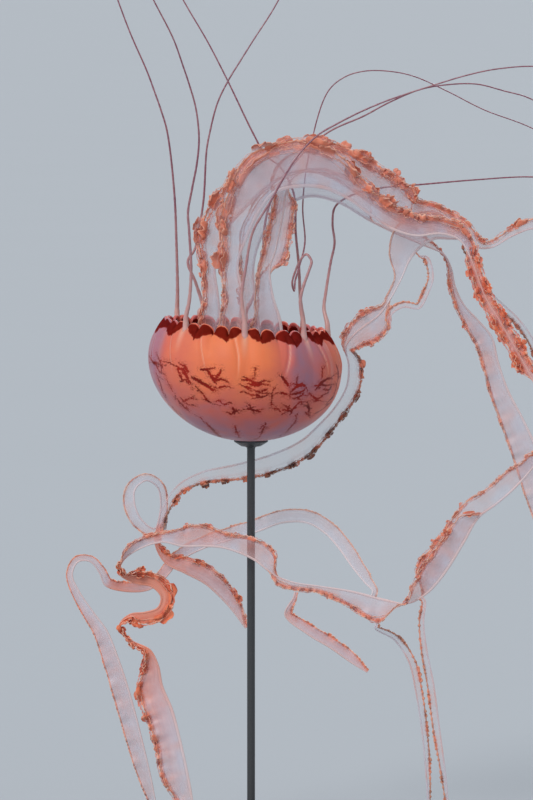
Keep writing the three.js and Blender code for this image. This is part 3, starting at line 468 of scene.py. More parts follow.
def welded(piece, reach=2e-6):
    """Seams and poles merged, with all faces turned outwards."""
    only(piece)
    bpy.ops.object.mode_set(mode="EDIT")
    bpy.ops.mesh.select_all(action="SELECT")
    bpy.ops.mesh.remove_doubles(threshold=reach)
    bpy.ops.mesh.normals_make_consistent(inside=False)
    bpy.ops.object.mode_set(mode="OBJECT")
    bpy.ops.object.shade_smooth()
    return piece


def thickened(piece, thickness):
    """A sheet given a closed wall of this many millimetres."""
    only(piece)
    solid = piece.modifiers.new("Wall", "SOLIDIFY")
    solid.thickness = thickness * MM
    solid.offset = 0
    bpy.ops.object.modifier_apply(modifier=solid.name)
    bpy.ops.object.shade_smooth()
    return piece


def joined(pieces, name):
    bpy.ops.object.select_all(action="DESELECT")
    for piece in pieces:
        piece.select_set(True)
    bpy.context.view_layer.objects.active = pieces[0]
    if len(pieces) > 1:
        bpy.ops.object.join()
    pieces[0].name = pieces[0].data.name = name
    return pieces[0]


def tube_points(centres, side, across, half_width, half_depth, sides):
    """Rings round the centres, with a closing point at each end. The last column lies on the first."""
    turn = np.linspace(0, 2 * np.pi, sides + 1)
    turn[-1] = 0
    rings = (
        centres[:, None]
        + side[:, None] * (np.cos(turn)[None, :, None] * half_width[:, None, None])
        + across[:, None] * (np.sin(turn)[None, :, None] * half_depth[:, None, None])
    )
    cap = lambda c: np.repeat(c[None, None], sides + 1, 1)
    return np.concatenate([cap(centres[0]), rings, cap(centres[-1])])


def finish_piece(piece, material, nodes=()):
    piece.data.materials.clear()
    piece.data.materials.append(material)
    if nodes:
        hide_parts(*nodes)
    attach(piece, "root")
    return piece


# ---------------------------------------------------------------- shader nodes
class Nodes:
    """A material's nodes, added and linked by short calls."""

    def __init__(self, name):
        self.material = bpy.data.materials.new(name)
        self.material.use_nodes = True
        self.tree = self.material.node_tree
        self.tree.nodes.clear()
        self.shader = self.add("ShaderNodeBsdfPrincipled")
        output = self.add("ShaderNodeOutputMaterial")
        self.tree.links.new(self.shader.outputs[0], output.inputs["Surface"])
        self.where = self.add("ShaderNodeTexCoord").outputs["Object"]

    def add(self, kind, **settings):
        node = self.tree.nodes.new(kind)
        for key, value in settings.items():
            setattr(node, key, value)
        return node

    def put(self, socket, value):
        if hasattr(value, "is_linked"):
            self.tree.links.new(value, socket)
        else:
            socket.default_value = value

    def set(self, **values):
        for key, value in values.items():
            self.put(self.shader.inputs[key.replace("_", " ")], value)

    def value(self, name):
        return self.add("ShaderNodeAttribute", attribute_name=name).outputs["Fac"]

    def math(self, operation, a, b=0.0, clamp=False):
        node = self.add("ShaderNodeMath", operation=operation, use_clamp=clamp)
        self.put(node.inputs[0], a)
        self.put(node.inputs[1], b)
        return node.outputs[0]

    def stretched(self, scale, where=None):
        node = self.add("ShaderNodeMapping")
        node.inputs["Scale"].default_value = scale
        self.put(node.inputs["Vector"], where or self.where)
        return node.outputs[0]

    def noise(self, scale, detail=3.0, distortion=0.0, where=None):
        node = self.add("ShaderNodeTexNoise")
        node.inputs["Scale"].default_value = scale
        node.inputs["Detail"].default_value = detail
        node.inputs["Distortion"].default_value = distortion
        self.put(node.inputs["Vector"], where or self.where)
        return node.outputs["Fac"]

    def spread(self, value, low, high, to_low=0.0, to_high=1.0):
        node = self.add("ShaderNodeMapRange", clamp=True)
        for socket, number in zip(node.inputs[:5], (value, low, high, to_low, to_high)):
            self.put(socket, number)
        return node.outputs[0]

    def mix(self, share, a, b):
        node = self.add("ShaderNodeMix", data_type="RGBA")
        self.put(node.inputs["Factor"], share)
        self.put(node.inputs[6], a if hasattr(a, "is_linked") else (*a, 1))
        self.put(node.inputs[7], b if hasattr(b, "is_linked") else (*b, 1))
        return node.outputs[2]

    def bump(self, height, strength, distance):
        node = self.add("ShaderNodeBump")
        node.inputs["Strength"].default_value = strength
        node.inputs["Distance"].default_value = distance
        self.put(node.inputs["Height"], height)
        self.tree.links.new(node.outputs[0], self.shader.inputs["Normal"])


def bell_flesh(settings):
    n = Nodes("bell_flesh")
    cloud = n.noise(34, 4, 0.3)
    # The glow mark is painted light: low glow gives lavender, more gives rose, and the most gives peach.
    warm = n.math("ADD", n.value("glow"), n.spread(cloud, 0.3, 0.7, -0.16, 0.16), clamp=True)
    flesh = n.mix(n.spread(warm, 0.0, 0.42), tuple(settings.lavender), tuple(settings.rose))
    flesh = n.mix(n.spread(warm, 0.40, 0.98), flesh, tuple(settings.peach))
    # The pale mark makes the flesh paler on the ribs below the tentacles, and paints a highlight along one side of each
    # crease.
    flesh = n.mix(n.math("MULTIPLY", n.value("pale"), 0.5), flesh, (0.84, 0.56, 0.44))
    fine = n.noise(620, 2)
    fray = n.spread(fine, 0.3, 0.7, -0.55, 0.85)
    stroke = n.spread(n.math("ADD", n.value("mark"), fray), -0.35, 0.35)
    wisps = n.noise(120, 3.4, 1.5, n.stretched((1, 1, 2.4)))
    ridge = n.math("ABSOLUTE", n.math("SUBTRACT", wisps, 0.5))
    reach = n.math("MULTIPLY", n.spread(n.value("mark"), -5, -0.2), n.spread(n.noise(120, 2), 0.3, 0.65, 0.1, 1.1))
    wisp = n.spread(n.math("SUBTRACT", n.math("MULTIPLY", reach, 0.075), ridge), -0.004, 0.012)
    deep = n.spread(n.noise(75, 2), 0.38, 0.68)
    mark_colour = n.mix(deep, tuple(settings.streak), (0.13, 0.007, 0.005))
    flesh = n.mix(n.math("MULTIPLY", wisp, 0.36), flesh, mark_colour)
    flesh = n.mix(n.math("MULTIPLY", stroke, 0.98), flesh, mark_colour)
    patch_edge = n.math("ADD", n.value("patch"), n.spread(n.noise(260, 2), 0.3, 0.7, -0.2, 0.2))
    patch = n.spread(patch_edge, 0.38, 0.62)
    rim = n.math("MULTIPLY", n.spread(patch_edge, 0.50, 0.92), n.spread(n.noise(110, 2), 0.36, 0.6, 0.5, 1.0))
    patch_colour = n.mix(rim, (0.23, 0.010, 0.006), tuple(settings.maroon))
    flesh = n.mix(n.math("MULTIPLY", patch, 0.97), flesh, patch_colour)
    n.set(Base_Color=flesh, Roughness=n.spread(n.noise(90, 3), 0.3, 0.7, 0.36, 0.52))
    marked = n.math("MAXIMUM", patch, n.math("MULTIPLY", stroke, 0.85))
    n.set(Subsurface_Weight=n.spread(marked, 0, 1, 0.42, 0.05), Subsurface_Radius=(1.0, 0.40, 0.30), Subsurface_Scale=0.01)
    n.set(IOR=1.35, Specular_IOR_Level=n.spread(patch, 0, 1, 0.22, 0.0), Sheen_Weight=n.spread(patch, 0, 1, 0.3, 0))
    n.set(Sheen_Roughness=0.28, Sheen_Tint=(1.0, 0.86, 0.84, 1))
    n.bump(n.math("ADD", n.noise(160, 3), n.math("MULTIPLY", stroke, 0.3)), 0.2, 0.0005)
    return n.material


def stomach_flesh(settings):
    n = Nodes("stomach_flesh")
    folds = n.noise(60, 4, 0.6, n.stretched((1.6, 1.6, 0.6)))
    n.set(Base_Color=n.mix(n.spread(folds, 0.3, 0.7), (0.62, 0.34, 0.30), tuple(settings.peach)))
    n.set(Roughness=n.spread(folds, 0.3, 0.7, 0.28, 0.42), Subsurface_Weight=0.3, Subsurface_Scale=0.006)
    n.bump(folds, 0.4, 0.001)
    return n.material


def tentacle_skin(settings):
    n = Nodes("tentacle_skin")
    rings = n.noise(420, 2, 0.3)
    drift = n.noise(30, 2)
    far = n.math("ADD", n.value("far"), n.spread(drift, 0.3, 0.7, -0.18, 0.18), clamp=True)
    skin = n.mix(far, tuple(settings.root_colour), tuple(settings.far_colour))
    skin = n.mix(n.spread(rings, 0.45, 0.75, 0, 0.45), skin, (0.55, 0.30, 0.34))
    n.set(Base_Color=skin, Roughness=n.spread(rings, 0.3, 0.7, 0.28, 0.45), Coat_Weight=0.25, Coat_Roughness=0.15)
    n.set(Subsurface_Weight=0.2, Subsurface_Scale=0.002)
    n.bump(rings, 0.35, 0.0003)
    return n.material


def arm_tissue(settings):
    n = Nodes("arm_tissue")
    bloom, ridge, warm, dense = (n.value(key) for key in ("bloom", "ridge", "warm", "dense"))
    along = n.add("ShaderNodeUVMap", uv_map="Surface").outputs[0]
    cloud = n.noise(42, 3, 0.4)
    clumps = n.noise(105, 3, 0.6)
    grain_and_highlights = n.noise(420, 2, 0.3)
    streaks = n.noise(1.0, 3, 0.5, n.stretched((8, 2.0, 1), along))
    warmth = n.math("MULTIPLY", warm, n.spread(cloud, 0.40, 0.66, 0.05, 0.75))
    warmth = n.math("MAXIMUM", warmth, n.math("MULTIPLY", warm, n.spread(dense, 0.55, 0.85, 0, 0.95)), clamp=True)
    veil = n.mix(warmth, tuple(settings.veil), (0.82, 0.275, 0.175))
    veil = n.mix(n.spread(streaks, 0.50, 0.74, 0, 0.3), veil, tuple(settings.keel))
    # Painted shade: the frill colour turns to the frill shade in patches where the clumps noise is high.
    rosy = n.mix(n.spread(clumps, 0.42, 0.66), tuple(settings.frill), tuple(settings.frill_shade))
    # Painted light: paler peach on the thin arch membranes, where light from above falls on them.
    rosy = n.mix(n.math("MULTIPLY", n.spread(dense, 0.34, 0.22, 0, 0.2), n.spread(clumps, 0.36, 0.6)), rosy, (0.98, 0.50, 0.33))
    # Darker brown in cloudy patches on the thinnest membranes.
    thin_dark_patches = n.math("MULTIPLY", n.spread(dense, 0.2, 0.14, 0, 0.85), n.spread(cloud, 0.45, 0.56, 1.0, 0.2))
    rosy = n.mix(thin_dark_patches, rosy, (0.12, 0.036, 0.022))
    # Painted highlight: pale peach flecks where the fine grain noise is high.
    rosy = n.mix(n.spread(grain_and_highlights, 0.55, 0.75, 0, 0.3), rosy, (0.96, 0.42, 0.24))
    frill = n.mix(warm, (0.70, 0.50, 0.46), rosy)
    colour = n.mix(n.spread(bloom, 0.02, 0.5), veil, frill)
    edged = n.math("MULTIPLY", n.spread(bloom, 0.93, 0.98), n.spread(dense, 0.12, 0.3, 0.25, 0.85))
    colour = n.mix(edged, colour, (1.0, 0.66, 0.50))
    core = n.math("MAXIMUM", n.math("MULTIPLY", warm, 0.3), n.spread(dense, 0.55, 0.82))
    band = n.mix(core, tuple(settings.keel), (0.87, 0.36, 0.26))
    colour = n.mix(n.math("MULTIPLY", ridge, 0.9), colour, band)
    body = n.math("ADD", dense, n.spread(dense, 0.5, 0.9, 0, 0.45))
    thin = n.math("MULTIPLY", body, n.spread(streaks, 0.30, 0.72, 0.54, 0.79))
    edge = n.math("MULTIPLY", n.spread(bloom, 0.02, 0.75), n.spread(clumps, 0.3, 0.6, 0.62, 0.92))
    opacity = n.math("MAXIMUM", n.math("MAXIMUM", thin, edge), n.math("MULTIPLY", ridge, 0.85), clamp=True)
    n.set(Base_Color=colour, Alpha=opacity, Roughness=n.spread(cloud, 0.3, 0.7, 0.30, 0.5))
    n.set(IOR=1.35, Specular_IOR_Level=n.spread(bloom, 0.1, 0.8, 0.4, 0.2), Coat_Weight=0.08, Coat_Roughness=0.25)
    n.bump(n.math("ADD", n.math("MULTIPLY", grain_and_highlights, 0.5), streaks), 0.25, 0.0004)
    return n.material


def satin_paint(settings):
    n = Nodes("satin_paint")
    mottle = n.noise(900, 3)
    n.set(Base_Color=n.mix(n.spread(mottle, 0.3, 0.7), tuple(settings.paint), tuple(1.35 * c for c in settings.paint)))
    n.set(Roughness=n.spread(mottle, 0.3, 0.7, 0.36, 0.46), Metallic=0.0, Coat_Weight=0.15, Coat_Roughness=0.3)
    n.bump(mottle, 0.12, 0.0001)
    return n.material


def studio_floor(settings):
    n = Nodes("studio_floor")
    cloud = n.noise(1.5, 2)
    tone = tuple(settings.floor_colour)
    n.set(Base_Color=n.mix(cloud, tone, tuple(c * 0.985 for c in tone)), Roughness=0.9)
    return n.material


# ---------------------------------------------------------------- bell
TOP_PHI = BELL_MOUTH_ANGLE
MOUTH_Z = BELL_WIDEST_Z + BELL_MOUTH_REACH * math.sin(TOP_PHI)
BELL_COLUMNS = 512
LAPPET_RUN = 15  # length of the meridian that a lappet takes
RIB_RUN = 40

# Streaks on the front of the bell: half width, then points across from the middle and up, as seen from the front.
FRONT_STREAKS = [
    (1.3, (-95, 492), (-89, 484), (-85, 477)), (1.1, (-88, 494), (-83, 486), (-82, 478)), (1.1, (-92, 486), (-82, 483)),
    (1.0, (-88, 475), (-84, 466), (-75, 447)), (0.6, (-73, 446), (-66, 438), (-58, 432)), (0.6, (-77, 471), (-68, 455)),
    (1.1, (-67, 483), (-65, 475), (-61, 470)), (1.1, (-64, 485), (-58, 483), (-55, 478)), (1.3, (-62, 478), (-57, 474), (-53, 467)),
    (0.9, (-64, 469), (-58, 471), (-54, 466)), (1.4, (-66, 481), (-60, 480), (-57, 472)), (0.7, (-78, 487), (-70, 484), (-64, 482)),
    (1.7, (-52, 474), (-45, 470), (-38, 466), (-31, 461)), (1.6, (-43, 481), (-37, 481), (-33, 475), (-28, 472), (-22, 473)),
    (1.1, (-28, 473), (-23, 481)), (0.8, (-22, 473), (-16, 470)), (1.4, (-35, 479), (-32, 473), (-28, 469)),
    (0.9, (-48, 465), (-41, 458), (-36, 451), (-31, 448)), (0.8, (-29, 451), (-25, 452), (-20, 448)),
    (0.8, (-27, 463), (-21, 466), (-14, 466)), (0.6, (10, 486), (10, 474)), (1.1, (-4, 473), (4, 473), (12, 470), (21, 474)),
    (1.3, (3, 469), (10, 468), (18, 470)), (0.8, (-5, 469), (1, 465), (7, 462)), (0.9, (6, 465), (13, 462), (22, 464)),
    (0.9, (0, 461), (7, 458), (13, 459)), (0.7, (17, 461), (25, 461)), (1.0, (12, 456), (18, 457)), (0.7, (-2, 476), (5, 474)),
    (1.5, (37, 478), (40, 474), (44, 468)), (0.7, (51, 478), (51, 471)), (1.4, (46, 464), (51, 469), (58, 471), (61, 468)),
    (1.3, (47, 461), (53, 462), (59, 466)), (1.0, (48, 456), (53, 458), (58, 461)), (1.2, (36, 462), (42, 460)),
    (0.7, (45, 472), (51, 471), (57, 473)), (0.7, (76, 491), (76, 478)), (1.3, (70, 466), (75, 474), (82, 479), (86, 480)),
    (1.1, (69, 470), (76, 472), (83, 471)), (1.0, (77, 467), (83, 466), (87, 471)), (1.3, (66, 460), (71, 456), (77, 460)),
    (0.8, (68, 454), (74, 455)), (0.7, (75, 460), (83, 464)), (1.2, (91, 494), (93, 484), (92, 476)),
    (1.0, (91, 472), (88, 460), (80, 450)), (0.8, (86, 454), (77, 445), (68, 440)),
    (0.9, (-64, 454), (-60, 451), (-55, 453)), (0.8, (-61, 450), (-55, 447), (-50, 447)), (1.1, (-67, 453), (-61, 446), (-55, 441)),
    (0.7, (-17, 451), (-12, 450)), (1.3, (-12, 446), (-10, 442), (-13, 439)), (0.8, (-19, 441), (-13, 440)),
    (1.1, (1, 444), (6, 444), (10, 443), (16, 442)), (0.9, (5, 449), (6, 444)), (0.7, (2, 447), (6, 445), (11, 447)),
    (1.0, (32, 445), (34, 444)), (0.9, (41, 449), (43, 444), (47, 442)), (0.9, (42, 443), (46, 444), (51, 450)),
    (1.0, (50, 449), (54, 453), (58, 453)), (1.3, (61, 449), (64, 446), (63, 441)), (0.9, (60, 442), (63, 439)),
    (0.6, (28, 466), (27, 458), (26, 448)), (2.0, (-39, 431), (-33, 425), (-26, 418), (-21, 415)), (0.7, (-44, 436), (-39, 429)),
    (0.9, (-10, 428), (-8, 422), (-6, 417)), (0.9, (21, 431), (18, 424), (13, 415)), (1.1, (52, 441), (50, 432), (44, 425), (32, 414)),
]
# Warmth of the upper half at angles round the bell: a painted glow, light shining through the flesh.
WARMTH = ((-180, 0.8), (-150, 0.2), (-120, 0.85), (-92, 0.3), (-76, 0.08), (-55, 0.5), (-30, 0.8), (-5, 1.0), (14, 0.9),
          (34, 0.12), (48, 0.2), (68, 0.6), (86, 0.55), (120, 0.1), (150, 0.9), (180, 0.8))
# Angles of the pale creases that run down from the margin; the pale line along each is a painted highlight.
CREASES = (-76, -52, -27, -7, 26, 55, 79, 104, 127, 151, 172, 197, 219, 243, 264)


def surface_points(across, up):
    """Points of the bell's face towards the viewer, seen at these places."""
    depth = np.zeros_like(across)
    for _ in range(3):
        z = np.clip(up + SIGHT_SLOPE * depth, BELL_APEX_Z + 0.3, BELL_WIDEST_Z + 30)
        rise = np.where(z < BELL_WIDEST_Z, BELL_WIDEST_Z - BELL_APEX_Z, BELL_MOUTH_REACH)
        radius = BELL_RADIUS * np.sqrt(1 - ((z - BELL_WIDEST_Z) / rise) ** 2)
        x = np.clip(across - lean(z), -radius * 0.995, radius * 0.995)
        depth = np.sqrt(radius**2 - x**2)
    return np.stack([x, -depth, z], -1)


def bell_streaks():
    """Half width and points in space of each streak: those of the front, and like ones half a turn further round."""
    streaks = []
    draw = np.random.default_rng(41)
    for turned, (half, *places) in [(turned, streak) for turned in (1, -1) for streak in FRONT_STREAKS]:
        places = np.array(places, float)
        if turned < 0:
            half = half * draw.uniform(0.7, 1.3)
            places = places + draw.uniform(-1.6, 1.6, places.shape)
        streaks.append((half * 0.74, surface_points(*places.T) * (turned, turned, 1)))
        for _ in range(len(places) + 2 if half > 0.85 else 1):
            k = draw.integers(len(places) - 1)
            way = unit(places[k + 1] - places[k]) * draw.choice([-1, 1])
            start = places[k] + (places[k + 1] - places[k]) * draw.uniform(0, 1)
            turn = draw.choice([-1, 1]) * draw.uniform(0.12, 0.55)
            way = np.array([way[0] * math.cos(turn) - way[1] * math.sin(turn),
                            (way[0] * math.sin(turn) + way[1] * math.cos(turn)) * 0.7])
            end = start + way * draw.uniform(3.5, 9.5)
            middle = (start + end) / 2 + draw.uniform(-0.8, 0.8, 2)
            shoot = surface_points(*np.array([start, middle, end]).T) * (turned, turned, 1)
            streaks.append((draw.uniform(0.15, 0.45), shoot))
    return streaks


def streak_field(points):
    """How far inside the nearest streak each point lies, in millimetres."""
    field = np.full(points.shape[:-1], -6.0)
    level = points[:, 0, 2]
    for half, places in bell_streaks():
        run = lengths_along(places)
        for k, (a, b) in enumerate(zip(places, places[1:])):
            rows = np.flatnonzero((level > min(a[2], b[2]) - 8) & (level < max(a[2], b[2]) + 8))
            near, way = points[rows], b - a
            t = np.clip(((near - a) @ way) / max(way @ way, 1e-9), 0, 1)
            off = np.linalg.norm(near - a - t[..., None] * way, axis=-1)
            share = (run[k] + t * (run[k + 1] - run[k])) / run[-1]
            field[rows] = np.maximum(field[rows], half * (0.6 + 0.75 * np.sin(np.pi * share) ** 0.7) - off)
    return field


def lean(z):
    return BELL_LEAN * (1 - soft_step(BELL_APEX_Z, BELL_WIDEST_Z, z))


def margin_share(z):
    return soft_step(BELL_APEX_Z, MOUTH_Z, z)


def bell_outline(phi):
    reach = np.where(phi < 0, BELL_WIDEST_Z - BELL_APEX_Z, BELL_MOUTH_REACH)
    radius, rise = BELL_RADIUS * np.cos(phi), reach * np.sin(phi)
    normal = unit(np.stack([radius / BELL_RADIUS**2, rise / reach**2], -1))
    return radius, BELL_WIDEST_Z + rise, normal


def angle_between(a, b):
    return (a - b + np.pi) % (2 * np.pi) - np.pi


def bell_grid(settings):
    """Points and marks of the bell: outer face from the crown up, lip, and inner face down to its floor."""
    angle = np.linspace(-np.pi, np.pi, BELL_COLUMNS + 1)
    angle[-1] = -np.pi
    outer_phi = -np.pi / 2 + (TOP_PHI + np.pi / 2) * np.linspace(0, 1, 150) ** 0.92
    inner_phi = np.linspace(TOP_PHI, math.radians(-62), 29)
    lip = np.linspace(0, np.pi, 7)[1:-1]

    radius_o, z_o, normal_o = bell_outline(outer_phi)
    radius_i, z_i, normal_i = bell_outline(inner_phi)
    fall = np.linspace(0, 1, len(inner_phi))
    wall = BELL_WALL_MARGIN + (BELL_WALL_APEX - BELL_WALL_MARGIN) * soft_step(0, 1, fall) ** 0.8
    share_i = margin_share(z_i)
    radius_i, z_i = radius_i - normal_i[:, 0] * wall, np.maximum(z_i - normal_i[:, 1] * wall, BELL_FLOOR_Z)
    edge_out, edge_in = np.array([radius_o[-1], z_o[-1]]), np.array([radius_i[0], z_i[0]])
    middle, half = (edge_out + edge_in) / 2, (edge_out - edge_in) / 2
    upward = np.array([-half[1], half[0]]) * np.sign(half[0])
    lip_rows = middle + np.cos(lip)[:, None] * half + np.sin(lip)[:, None] * upward

    radius = np.concatenate([radius_o, lip_rows[:, 0], radius_i])
    z = np.concatenate([z_o, lip_rows[:, 1], z_i])
    normal = np.concatenate([normal_o, np.repeat(normal_o[-1:], len(lip), 0), normal_i])
    share = np.concatenate([margin_share(z_o), np.ones(len(lip)), share_i])
    below_o = lengths_along(np.stack([radius_o, z_o], 1))
    below = np.concatenate([below_o[-1] - below_o, np.zeros(len(lip)), lengths_along(np.stack([radius_i, z_i], 1))])
    outside = np.concatenate([np.ones(len(radius_o)), np.zeros(len(lip) + len(radius_i))])[:, None]

    around = np.broadcast_to(angle, (len(z), len(angle)))
    down = np.broadcast_to(below[:, None], around.shape)
    lappet = (around * LAPPETS / (2 * np.pi)) % 1
    scallop = np.sqrt(np.clip(1 - np.abs(2 * lappet - 1) ** 2.4, 0, 1))
    near = 1 - soft_step(0, LAPPET_RUN, down)
    lobes = (0.5 - 0.5 * np.cos(FURROWS * around)) ** 0.6 - 0.5
    swell = FURROW_DEPTH * share[:, None] * lobes
    swell = swell + settings.lappet_puff * near * (scallop - 0.4) * outside
    swell = swell - 0.9 * (1 - soft_step(0, 26, down)) * np.exp(-(((lappet + 0.5) % 1 - 0.5) / 0.07) ** 2) * outside
    swell = swell + 0.5 * wander(around * BELL_RADIUS, 31, 3) * share[:, None] * outside
    pale = np.zeros_like(around)
    for root, _, _ in TENTACLES.values():
        off = np.abs(angle_between(around, math.radians(root))) * BELL_RADIUS * 0.86
        fade = 1 - soft_step(6, RIB_RUN, down)
        swell = swell + settings.rib_height * np.exp(-((off / 2.4) ** 2)) * fade * outside
        pale = np.maximum(pale, np.exp(-((off / 2.6) ** 2)) * fade)
    for crease in CREASES:
        bend = math.radians(crease) + 0.05 * np.sin(down / 17 + crease)
        off = angle_between(around, bend) * BELL_RADIUS * 0.86
        fade = soft_step(4, 12, down) * (1 - soft_step(34, 56, down))
        swell = swell - 1.1 * np.exp(-((off / 1.5) ** 2)) * fade * outside
        swell = swell + 1.1 * np.exp(-(((off - 4.5) / 4) ** 2)) * fade * outside
        # Painted highlight: a thin pale line along one side of each crease.
        pale = np.maximum(pale, 0.8 * np.exp(-(((off - 1.2) / 0.6) ** 2)) * fade)

    wide = radius[:, None] + normal[:, :1] * swell
    wide = np.where(radius[:, None] > 1e-6, wide, 0)
    high = z[:, None] + normal[:, 1:] * swell - LAPPET_HEIGHT * (1 - scallop) * near
    x = wide * np.sin(around)
    high = high + MARGIN_TILT * x * share[:, None]
    points = np.stack([x + lean(z)[:, None], -wide * np.cos(around), high], -1)
    floor_row = np.array([[lean(np.array(BELL_FLOOR_Z)), 0.0, BELL_FLOOR_Z]])
    points = np.concatenate([points, np.broadcast_to(floor_row, (1, *points.shape[1:]))])

    draw = np.random.default_rng(3)
    heights = LAPPET_HEIGHT + draw.uniform(8.0, 12.5, LAPPETS)
    own = heights[np.floor(around * LAPPETS / (2 * np.pi)).astype(int) % LAPPETS]
    pair = (around * LAPPETS / (4 * np.pi)) % 1
    point = 1 - np.abs(2 * pair - 1)
    depth = own * (0.42 + 0.62 * point**0.8) * np.clip(1 - np.abs(2 * lappet - 1) ** 9, 0, 1) ** 0.3
    depth = depth + (own * 1.04 - depth) * soft_step(0.86, 0.98, point)
    for root, _, _ in TENTACLES.values():
        off = angle_between(around, math.radians(root)) * BELL_RADIUS * 0.86
        depth = depth * (1 - 0.95 * np.exp(-((off / 4.2) ** 2)))
    patch = np.clip(0.5 + (depth - down) / 5, 0, 1) * (0.1 + 0.9 * soft_step(0.3, 1.9, down))

    surface = np.stack([radius[:, None] * np.sin(around), -radius[:, None] * np.cos(around),
                        np.broadcast_to(z[:, None], around.shape)], -1)
    mark = np.full_like(around, -6.0)
    outer = len(radius_o)
    mark[:outer] = streak_field(surface[:outer])
    height = z[:, None]
    # Painted glow: warm light through the upper half, set by angle and fading towards the crown.
    upper = soft_step(450, 484, height) * (1 - 0.3 * soft_step(512, 531, height))
    warmth = np.interp(np.degrees(angle), *zip(*WARMTH))[None, :]
    glow = 0.38 + (warmth - 0.38) * upper - 0.3 * (1 - soft_step(414, 454, height))
    # Painted shade: the glow is darkened on the left side.
    shade = soft_step(-48, -78, np.degrees(angle)) * soft_step(-134, -100, np.degrees(angle))
    glow = glow - 0.22 * shade[None, :]
    glow = np.clip(np.where(outside > 0, glow, 0.35), 0, 1)
    marks = {"patch": patch, "mark": mark, "glow": glow, "pale": pale * outside}
    marks = {key: np.vstack([values, values[-1:]]) for key, values in marks.items()}
    return points, around, down, marks


class JELLY_OT_bell(Operator):
    """Make the bell, with its lappets, ribs and streaks, and the stomach inside it"""

    bl_idname = "jelly.bell"
    bl_label = "Bell"

    def execute(self, context):
        settings = context.scene.jelly_bell
        points, around, down, marks = bell_grid(settings)
        across = np.vstack([around, around[-1:]]) / (2 * np.pi)
        along = np.vstack([down, down[-1:]]) / 100
        bell = welded(shaped_grid("bell_skin", points, across, along, **marks), 2e-5)
        finish_piece(bell, bell_flesh(settings), ["bell"])
        self.stomach(settings)
        return {"FINISHED"}

    def stomach(self, settings):
        low, high = (np.array(corner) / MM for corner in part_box("manubrium"))
        rise = np.linspace(0, 1, 60)
        waist = 0.66 + 0.32 * np.abs(rise - 0.42) ** 1.1 / 0.58**1.1
        radius = (high[0] - low[0]) / 2 * np.clip(waist, 0, 1) * np.minimum(1, np.sqrt(np.clip(rise / 0.05, 0, 1)))
        radius = radius * np.where(rise > 0.95, np.sqrt(np.clip((1 - rise) / 0.05, 0, 1)) * 0.35 + 0.65, 1)
        radius[0] = radius[-1] = 0
        turn = np.linspace(0, 2 * np.pi, 145)
        turn[-1] = 0
        folds = 1 - 0.05 * (0.5 + 0.5 * np.cos(20 * turn + 2.2 * np.sin(3 * turn)))
        wide = radius[:, None] * folds
        height = low[2] + (high[2] - low[2]) * rise
        points = np.stack(
            [wide * np.sin(turn), -wide * np.cos(turn), np.broadcast_to(height[:, None], wide.shape)], -1)
        along = np.broadcast_to(rise[:, None], wide.shape)
        across = np.broadcast_to(np.linspace(0, 1, 145), wide.shape)
        stomach = welded(shaped_grid("stomach", points, across, along), 2e-5)
        finish_piece(stomach, stomach_flesh(settings), ["manubrium"])


# ---------------------------------------------------------------- tentacles
TENTACLE_SIDES = 12
ROOT_DEPTH = 9  # how far a tentacle's skin runs down into the margin


def tentacle_root(angle):
    turn = math.radians(angle)
    x, y = ROOT_RADIUS * math.sin(turn), -ROOT_RADIUS * math.cos(turn)
    z = MOUTH_Z - LAPPET_HEIGHT
    return np.array([x, y, z + MARGIN_TILT * x * float(margin_share(np.array(z))) + BULB_RISE + 0.3])


def evenly(points, step):
    """The same curve with its points this far apart."""
    run = lengths_along(points)
    at = np.linspace(0, run[-1], int(math.ceil(run[-1] / step)) + 1)
    return np.stack([np.interp(at, run, points[:, k]) for k in range(3)], 1), at


def carried_sides(along):
    """A side vector for each point, carried along the curve without a twist."""
    side = np.array([1.0, 0.0, 0.0])
    sides = []
    for direction in along:
        side = unit(side - direction * side.dot(direction))
        sides.append(side)
    return np.array(sides)


class JELLY_OT_tentacles(Operator):
    """Make each tentacle as one tapering tube from its root in the margin"""

    bl_idname = "jelly.tentacles"
    bl_label = "Tentacles"

    def execute(self, context):
        settings = context.scene.jelly_tentacles
        skin = tentacle_skin(settings)
        for seed, (name, (angle, lengths, through)) in enumerate(TENTACLES.items()):
            root = tentacle_root(angle)
            stations = [root, root + (0, 0, 9), *(placed(*p) for p in through)]
            centres, _ = smooth_route(stations)
            centres = np.vstack([[root - (0, 0, ROOT_DEPTH)], centres])
            centres, run = evenly(centres, 1.6)
            run = run - ROOT_DEPTH
            along = directions_along(centres)
            side = carried_sides(along)
            ahead = np.maximum(run, 0)
            radius = settings.tip_radius + 1.2 * np.exp(-ahead / 170) + 1.45 * np.exp(-ahead / 14)
            radius = radius * (1 + 0.07 * wander(run, 9, seed)) + 0.10 * np.maximum(-run, 0)
            points = tube_points(centres, side, np.cross(along, side), radius, radius * 0.9, TENTACLE_SIDES)
            run = np.concatenate([run[:1], run, run[-1:]])
            far = np.broadcast_to((1 - np.exp(-np.maximum(run, 0) / 70))[:, None], points.shape[:2])
            across = np.broadcast_to(np.linspace(0, 1, TENTACLE_SIDES + 1), points.shape[:2])
            up = np.broadcast_to(run[:, None] / 100, points.shape[:2])
            piece = welded(shaped_grid(f"tentacle_{name}_skin", inside_box(points), across, up, far=far))
            finish_piece(piece, skin, [f"tentacle_{name}_{k + 1}" for k in range(lengths)])
        return {"FINISHED"}


def inside_box(points):
    """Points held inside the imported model's box, with room for half a sheet's wall."""
    low, high = (np.array(corner) / MM for corner in CAD_BOUNDS)
    return np.clip(points, low + 0.35, high - 0.35)


